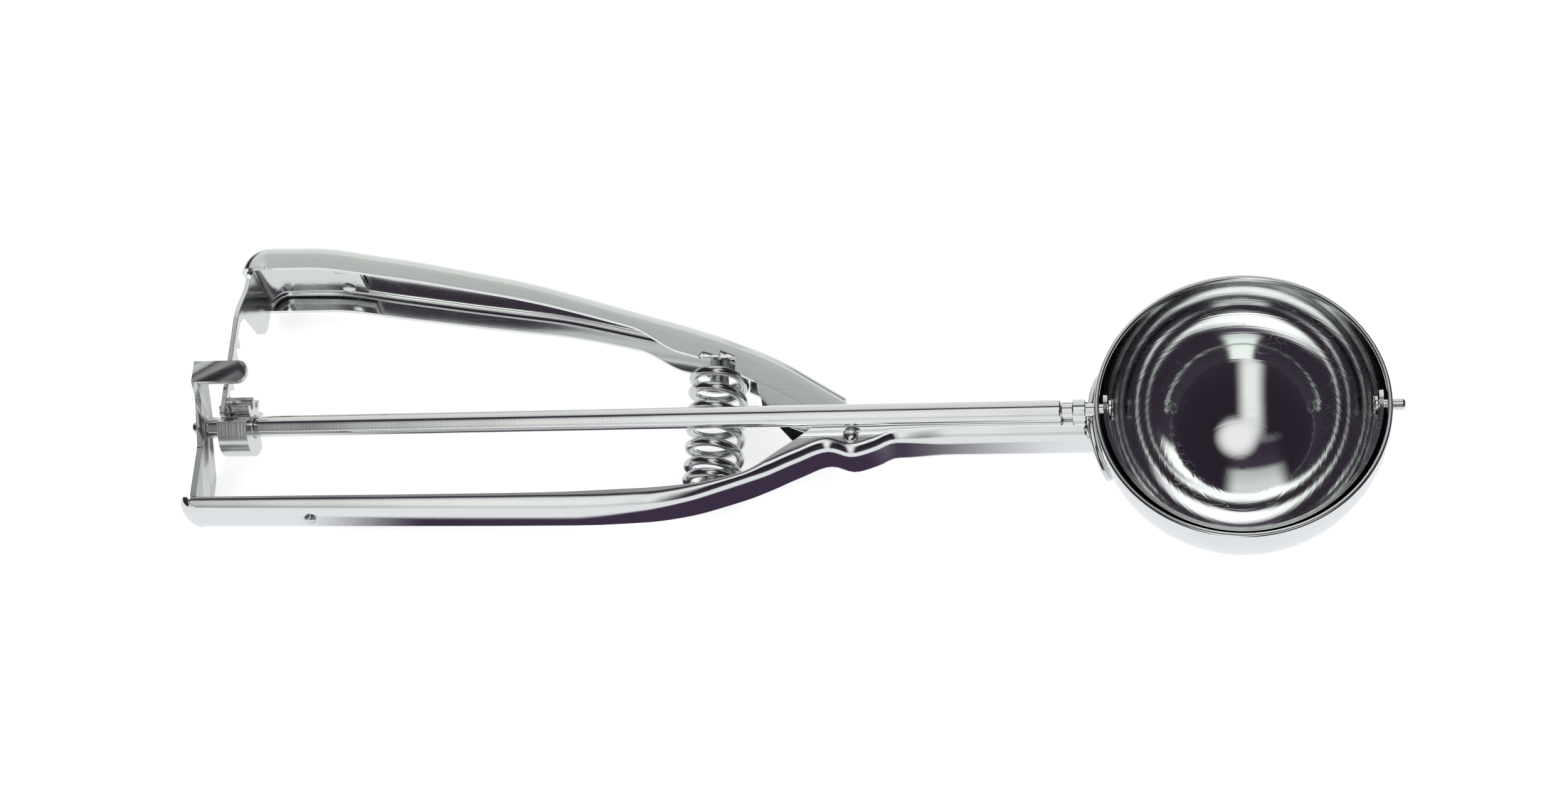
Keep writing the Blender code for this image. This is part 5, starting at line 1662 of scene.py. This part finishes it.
@dataclass
class Sweeper:
    """The shaft, its pinion, the blade in the bowl and the pin at the far side."""

    blade_clearance: float = 0.6
    blade_thickness: float = 0.8
    blade_width: float = 9.0
    ear: float = 3.2
    ear_reach: float = 0.999
    ear_end: float = 0.05
    waist: float = 0.7
    blade_steps: int = 120
    ear_steps: int = 18
    half_across: int = 6
    pin_reach: float = 2.4
    head_flange: float = 0.8
    head_thickness: float = 0.9
    nub_radius: float = 1.2
    nub_length: float = 1.5
    bush_to_shoulder: float = 2.0
    pinion_length: float = 6.0
    pinion_to_bracket: float = 3.8
    pinion_teeth: int = 10
    flank_steps: int = 6
    root_share: float = 0.9
    smooth_arc: float = 125.0

    @property
    def blade_outside(self) -> float:
        """Radius of the blade's outer face."""
        return SIZES.bowl_radius - SIZES.bowl_wall - self.blade_clearance

    @property
    def blade_inside(self) -> float:
        """Radius of the blade's inner face."""
        return self.blade_outside - self.blade_thickness

    def shaft(self) -> None:
        """Turn the long shaft with its journals, rear nub and inner head."""
        s = SIZES
        journal = s.front_journal
        head = journal + self.head_flange
        head_x = -(math.sqrt(self.blade_inside**2 - head**2) - s.gap)
        shoulder = -(s.saddle_outside + s.gap) - s.bush_length - self.bush_to_shoulder
        rear = s.bracket_rear + s.bracket + s.gap
        nub = s.bracket_rear - s.gap
        corners = [
            (0.0, head_x + self.head_thickness, 0.0),
            (head, head_x + self.head_thickness, 0.45),
            (head, head_x, 0.1),
            (journal, head_x, 0.1),
            (journal, shoulder, 0.15),
            (s.shaft_radius, shoulder, 0.45),
            (s.shaft_radius, rear, 0.4),
            (s.rear_journal, rear, 0.1),
            (s.rear_journal, nub, 0.1),
            (self.nub_radius, nub, 0.2),
            (self.nub_radius, nub - self.nub_length, 0.7),
            (0.0, nub - self.nub_length, 0.0),
        ]
        profile = [tuple(p) for p in rounded(corners, closed=False, step=15.0)]
        made = lathe("drive_shaft", profile, along_x(), 96)
        hand_in(made, Finishes.shaft, Body.SWEEPER, "shaft")

    def front_pin(self) -> None:
        """Turn the pin that carries the blade's front ear."""
        s = SIZES
        head = s.pin_radius + self.head_flange
        head_x = math.sqrt(self.blade_inside**2 - head**2) - s.gap
        tip = s.bowl_radius + self.pin_reach
        corners = [
            (0.0, tip, 0.0),
            (s.pin_radius, tip, 0.6),
            (s.pin_radius, head_x, 0.1),
            (head, head_x, 0.1),
            (head, head_x - self.head_thickness, 0.5),
            (0.0, head_x - self.head_thickness, 0.0),
        ]
        profile = [tuple(p) for p in rounded(corners, closed=False, step=12.0)]
        made = lathe("front_pin_turned", profile, along_x(), 56)
        hand_in(made, Finishes.pin, Body.SWEEPER, "front_pin")

    def blade(self) -> None:
        """Bend the curved strip that sweeps the bowl, with a round ear at each end."""
        s = SIZES
        dip = math.radians(s.blade_dip)
        down = Vector((0.0, -math.cos(dip), -math.sin(dip)))
        across = Vector((0.0, -math.sin(dip), math.cos(dip)))
        along = Vector((1.0, 0.0, 0.0))
        radius = self.blade_outside
        past = self.ear / radius
        quarter = math.pi / 2
        steps, ears = self.blade_steps, self.ear_steps
        stations = [-quarter - past * math.cos(quarter * k / ears) * self.ear_reach for k in range(ears)]
        stations += [-quarter + math.pi * k / steps for k in range(steps + 1)]
        stations += [-angle for angle in reversed(stations[:ears])]
        rows = []
        for angle in stations:
            beyond = (abs(angle) - quarter) * radius
            if beyond > 0.0:
                half = math.sqrt(max(self.ear**2 - beyond**2, (self.ear_end * self.ear) ** 2))
            else:
                swell = max(math.cos(angle), 0.0) ** self.waist
                half = self.ear + (self.blade_width / 2 - self.ear) * swell
            row = []
            for j in range(-self.half_across, self.half_across + 1):
                offset = half * j / self.half_across / radius
                lengthwise = down * math.cos(angle) + along * math.sin(angle)
                row.append((lengthwise * math.cos(offset) + across * math.sin(offset)) * radius)
            rows.append(row)
        made = grid("sweeping_blade", rows, flip=True)
        sheet(made, self.blade_thickness, -1.0)
        ease(made, 0.2)
        settle_modifiers(made)
        reach = s.bowl_radius
        cut(made, rod("hole", s.front_journal + s.gap, (-reach, 0, 0), (0, 0, 0)))
        cut(made, rod("hole", s.pin_radius + s.gap, (0, 0, 0), (reach, 0, 0)))
        hand_in(made, Finishes.blade, Body.SWEEPER, "sweeper_blade")

    def involute(self, radius: float, base: float) -> float:
        """Return the involute angle at this radius."""
        pressure = math.acos(min(1.0, base / radius))
        return math.tan(pressure) - pressure

    def pinion_outline(self) -> list[Point2]:
        """Return the pinion's outline in (Y, Z): teeth where the rack comes, smooth elsewhere.

        Returns:
            The outline's points.
        """
        s = SIZES
        pitch_radius = s.pinion_pitch
        tip = pitch_radius + s.pinion_addendum * s.module
        root = pitch_radius - s.dedendum * s.module
        base = pitch_radius * math.cos(math.radians(s.pressure_angle))
        pitch = 2 * math.pi / self.pinion_teeth
        half_tooth = (math.pi * s.module / 2 - s.backlash / 2) / pitch_radius / 2
        middle = math.radians(180.0 + s.blade_dip)
        half_smooth = math.radians(self.smooth_arc) / 2
        flank = []
        foot = max(base, root)
        steps = self.flank_steps
        for k in range(steps + 1):
            radius = tip + (foot - tip) * k / steps
            tooth = half_tooth + self.involute(pitch_radius, base) - self.involute(radius, base)
            flank.append((radius, pitch / 2 - tooth))
        flank.append((root, flank[-1][1] * self.root_share))
        outline = []
        for i in range(self.pinion_teeth):
            gap = math.pi / 2 + pitch * i
            away = abs((gap - middle + math.pi) % (2 * math.pi) - math.pi)
            if away < half_smooth:
                outline += [(tip, gap + pitch * k / (2 * steps)) for k in range(-steps, steps)]
            else:
                outline += [(radius, gap - angle) for radius, angle in flank]
                outline += [(radius, gap + angle) for radius, angle in reversed(flank)]
        return [(radius * math.cos(angle), radius * math.sin(angle)) for radius, angle in outline]

    def pinion(self) -> None:
        """Cut the pinion and bore it for the shaft."""
        s = SIZES
        rear = s.bracket_rear + s.bracket + self.pinion_to_bracket
        front = rear + self.pinion_length
        length = self.pinion_length
        made = plate("pinion_wheel", self.pinion_outline(), length, yz_plane((rear + front) / 2))
        ease(made, 0.12, segments=2, angle=60.0)
        settle_modifiers(made)
        cut(made, rod("bore", s.shaft_radius + s.gap, (rear - length, 0, 0), (front + length, 0, 0)))
        hand_in(made, Finishes.pinion, Body.SWEEPER, "pinion")

    def build(self) -> None:
        """Make every piece that turns with the shaft."""
        self.shaft()
        self.front_pin()
        self.blade()
        self.pinion()


# The studio.
@dataclass(frozen=True)
class Softbox:
    """A soft rectangular lamp that points at the scoop."""

    name: str
    azimuth: float
    elevation: float
    distance: float
    width: float
    height: float
    brightness: float

    def hang(self, target: Vector) -> None:
        """Make the lamp at its place round the target.

        Args:
            target: What it points at, in metres.
        """
        data = bpy.data.lights.new(self.name, "AREA")
        data.shape = "RECTANGLE"
        data.size, data.size_y = self.width, self.height
        data.energy = self.brightness * math.pi * self.width * self.height
        lamp = bpy.data.objects.new(self.name, data)
        lamp.visible_glossy = False
        bpy.context.scene.collection.objects.link(lamp)
        a, e = math.radians(self.azimuth), math.radians(self.elevation)
        away = Vector((math.sin(a) * math.cos(e), -math.cos(a) * math.cos(e), math.sin(e)))
        lamp.location = target + away * self.distance
        lamp.rotation_mode = "QUATERNION"
        lamp.rotation_quaternion = away.to_track_quat("Z", "Y")


@dataclass(frozen=True)
class Glow:
    """A soft round patch on the room's walls, seen only in the steel, with its reach in degrees."""

    toward: Triple
    core: float
    reach: float


@dataclass(frozen=True)
class Room:
    """The room that the steel mirrors: light in a slot across the scoop, dark beside it.

    Directions are in the scoop's own frame. The stops of `across` run in degrees from the horizon on
    the moving handle's side over the zenith, those of `sides` in degrees above the horizon.
    """

    across: tuple[Stop, ...] = (
        (0.0, (0.84, 0.86, 0.84)),
        (48.0, (0.78, 0.80, 0.78)),
        (62.0, (0.54, 0.56, 0.55)),
        (67.0, (0.06, 0.045, 0.065)),
        (86.0, (0.035, 0.025, 0.045)),
        (98.0, (0.72, 0.74, 0.73)),
        (112.0, (0.98, 1.0, 0.98)),
        (150.0, (0.97, 0.99, 0.97)),
        (160.0, (0.72, 0.74, 0.73)),
        (180.0, (0.90, 0.92, 0.90)),
    )
    sides: tuple[Stop, ...] = (
        (0.0, (0.20, 0.20, 0.20)),
        (9.0, (0.11, 0.105, 0.115)),
        (18.0, (0.035, 0.028, 0.04)),
        (44.0, (0.025, 0.018, 0.03)),
        (90.0, (0.02, 0.014, 0.022)),
    )
    # The slot's middle and the edges of its fade, towards the moving handle and away from it.
    far_middle: float = -0.145
    far_slot: Point2 = (0.22, 0.42)
    near_middle: float = -0.13
    near_slot: Point2 = (0.04, 0.24)
    near_to_far: Point2 = (-0.1, 0.1)
    zenith_glow: Glow = Glow((0.08, -0.04, 0.996), 6.0, 20.0)
    # Rays that have bounced more than once see a narrower and brighter room, dark at the camera.
    bounces: float = 1.5
    again_slot: Point2 = (0.15, 0.27)
    again_gain: float = 0.7
    wall_glow: Glow = Glow((-0.42, -0.78, 0.56), 8.0, 17.0)
    camera_shade: Glow = Glow((-0.01, -0.459, 0.888), 7.0, 15.0)
    air: tuple[float, ...] = (0.5, 0.5, 0.52, 1.0)

    def part_of(self, nodes: NodeSheet, toward: bpy.types.NodeSocket, axis: Vector) -> bpy.types.NodeSocket:
        """Return how far a direction goes along an axis."""
        dot = nodes.add("ShaderNodeVectorMath", {"operation": "DOT_PRODUCT"}, {0: toward, 1: tuple(axis)})
        return dot.outputs["Value"]

    def off(self, nodes: NodeSheet, value: bpy.types.NodeSocket, middle: float) -> bpy.types.NodeSocket:
        """Return how far a value is from a middle."""
        return nodes.maths("ABSOLUTE", nodes.maths("SUBTRACT", value, middle))

    def patch(self, nodes: NodeSheet, toward: bpy.types.NodeSocket, glow: Glow) -> bpy.types.NodeSocket:
        """Add a glow's patch.

        Args:
            nodes: Where the nodes go.
            toward: The direction that is looked in.
            glow: The patch.

        Returns:
            A socket that is one in the patch's core and zero beyond its reach.
        """
        near = self.part_of(nodes, toward, (LAY.turn @ Vector(glow.toward)).normalized())
        edge, full = (math.cos(math.radians(angle)) for angle in (glow.reach, glow.core))
        return nodes.fade(near, edge, full)

    def build(self) -> None:
        """Make the world: this room for the steel, white for the camera, grey for all else."""
        world = bpy.data.worlds.new("room")
        world.use_nodes = True
        nodes = NodeSheet(world.node_tree)
        toward = nodes.add("ShaderNodeTexCoord").outputs["Generated"]
        along, side, up = (self.part_of(nodes, toward, LAY.turn.col[k]) for k in range(3))
        path = nodes.add("ShaderNodeLightPath").outputs
        again = nodes.maths("GREATER_THAN", path["Glossy Depth"], self.bounces)
        turn = nodes.maths("DIVIDE", nodes.maths("ARCTAN2", up, side), math.pi)
        lift = nodes.maths("DIVIDE", nodes.maths("ARCSINE", up), math.pi / 2)
        across = nodes.ramp(turn, self.across, 180.0)
        sides = nodes.ramp(lift, self.sides, 90.0)
        far = nodes.fade(self.off(nodes, along, self.far_middle), *self.far_slot)
        near = nodes.fade(self.off(nodes, along, self.near_middle), *self.near_slot)
        share = nodes.blend(nodes.fade(side, *self.near_to_far), near, far)
        narrow = nodes.fade(self.off(nodes, along, 0.0), *self.again_slot)
        room = nodes.mix(nodes.blend(again, share, narrow), across, sides)
        shade = nodes.maths("MULTIPLY", self.patch(nodes, toward, self.camera_shade), again)
        room = nodes.mix(shade, room, (*self.sides[-1][1], 1.0))
        wall = nodes.maths("MULTIPLY", self.patch(nodes, toward, self.wall_glow), again)
        room = nodes.mix(wall, room, WHITE)
        room = nodes.mix(self.patch(nodes, toward, self.zenith_glow), room, WHITE)
        seen = nodes.maths("MAXIMUM", path["Is Camera Ray"], path["Is Transmission Ray"])
        colour = nodes.mix(seen, nodes.mix(path["Is Glossy Ray"], self.air, room), WHITE)
        gain = nodes.maths("MULTIPLY_ADD", again, self.again_gain, 1.0)
        air = nodes.add("ShaderNodeBackground", inputs={"Color": colour, "Strength": gain})
        nodes.add("ShaderNodeOutputWorld", inputs={"Surface": air.outputs[0]})
        bpy.context.scene.world = world


@dataclass(frozen=True)
class Floor:
    """The plain white floor, which keeps the scoop's shadow.

    The steel sees a painted shadow on it: a dark patch before the fixed handle, shown where it looks steeply
    down, that stands in for the scoop's contact shadow.
    """

    half_size: float = 4.0
    paint: tuple[float, ...] = (0.8, 0.8, 0.8, 1.0)
    lift: float = 0.5
    steep: Point2 = (0.15, 0.36)
    # Where the painted shadow lies, and its colour: a dark patch before the fixed handle, seen only in the
    # steel, that stands in for the scoop's contact shadow.
    painted_shadow_start: Point2 = (-0.100, -0.070)
    painted_shadow_end: Point2 = (0.020, 0.060)
    painted_shadow_side: Point2 = (-0.014, -0.007)
    painted_shadow_colour: Colour = (0.055, 0.035, 0.07)
    mirrored: Colour = (0.92, 0.93, 0.96)

    def off_painted_shadow(self, nodes: NodeSheet) -> bpy.types.NodeSocket:
        """Mark the floor beyond the painted shadow patch.

        Args:
            nodes: Where the nodes go.

        Returns:
            A socket that is zero on the painted shadow patch and one off it.
        """
        place = nodes.add("ShaderNodeTexCoord").outputs["Object"]
        x, y, _ = nodes.add("ShaderNodeSeparateXYZ", inputs={"Vector": place}).outputs
        shade_patch = nodes.maths("SUBTRACT", nodes.fade(x, *self.painted_shadow_start), nodes.fade(x, *self.painted_shadow_end))
        return nodes.maths("MAXIMUM", nodes.maths("SUBTRACT", 1.0, shade_patch), nodes.fade(y, *self.painted_shadow_side))

    def build(self) -> None:
        """Lay the floor and paint it."""
        h = self.half_size
        made = new_object("floor", [(-h, -h, 0), (h, -h, 0), (h, h, 0), (-h, h, 0)], [(0, 1, 2, 3)], False)
        material = bpy.data.materials.new("white_floor")
        material.use_nodes = True
        nodes = NodeSheet(material.node_tree)
        paint = nodes.add("ShaderNodeBsdfDiffuse", inputs={"Color": self.paint})
        path = nodes.add("ShaderNodeLightPath").outputs
        seen = nodes.maths("MAXIMUM", path["Is Camera Ray"], path["Is Transmission Ray"])
        glow = nodes.add("ShaderNodeEmission", inputs={"Strength": nodes.maths("MULTIPLY", seen, self.lift)})
        both = nodes.add("ShaderNodeAddShader", inputs={0: paint.outputs[0], 1: glow.outputs[0]})
        slant = nodes.add("ShaderNodeLayerWeight", inputs={"Blend": 0.5}).outputs["Facing"]
        # Painted shadow: the steel sees the dark colour where it looks steeply down onto the patch before the
        # fixed handle.
        bright = nodes.maths("MAXIMUM", nodes.fade(slant, *self.steep), self.off_painted_shadow(nodes))
        tone = nodes.mix(bright, (*self.painted_shadow_colour, 1.0), (*self.mirrored, 1.0))
        mirrored = nodes.add("ShaderNodeEmission", inputs={"Color": tone, "Strength": 1.0})
        surface = {0: path["Is Glossy Ray"], 1: both.outputs[0], 2: mirrored.outputs[0]}
        shown = nodes.add("ShaderNodeMixShader", inputs=surface)
        nodes.add("ShaderNodeOutputMaterial", inputs={"Surface": shown.outputs[0]})
        made.data.materials.append(material)


@dataclass
class Studio:
    """The floor, lamps, room and camera."""

    eye: Triple = (-5.877, -268.45, 519.18)
    right: Triple = (0.99013, 0.046385, -0.132242)
    up: Triple = (0.019881, 0.887600, 0.460185)
    back: Triple = (0.138724, -0.458273, 0.877919)
    lens: float = 70.0
    sensor: float = 36.0
    clip: Point2 = (0.01, 20.0)
    lamp_target: Triple = (0.0, 0.0, 0.02)
    boxes: tuple[Softbox, ...] = (
        Softbox("front_box", -20.0, 50.0, 1.1, 1.0, 0.6, 1.5),
        Softbox("left_box", -80.0, 45.0, 1.0, 0.5, 0.9, 1.3),
        Softbox("right_box", 75.0, 45.0, 1.0, 0.5, 0.9, 1.3),
        Softbox("top_box", 160.0, 72.0, 1.0, 0.8, 0.6, 1.5),
    )

    def camera(self) -> None:
        """Stand the camera where the photograph was taken from."""
        data = bpy.data.cameras.new("camera")
        data.lens = self.lens
        data.sensor_width = self.sensor
        data.sensor_fit = "HORIZONTAL"
        data.clip_start, data.clip_end = self.clip
        made = bpy.data.objects.new("camera", data)
        bpy.context.scene.collection.objects.link(made)
        turn = Matrix((self.right, self.up, self.back)).transposed()
        made.matrix_world = Matrix.Translation(LAY.point(*self.eye)) @ (LAY.turn @ turn).to_4x4()
        bpy.context.scene.camera = made

    def build(self) -> None:
        """Set the studio up."""
        Floor().build()
        Room().build()
        for box in self.boxes:
            box.hang(Vector(self.lamp_target))
        self.camera()
        bpy.context.scene.view_settings.view_transform = "Standard"


def main() -> None:
    """Build the scoop and its studio."""
    logging.basicConfig(level=logging.INFO, format="%(message)s")
    fixed, moving = FixedHandle(), MovingHandle()
    BowlEnd().build()
    fixed.build()
    moving.build()
    Pivot().build()
    ReturnSpring().build(fixed, moving)
    Sweeper().build()
    Studio().build()


if __name__ == "__main__":
    main()
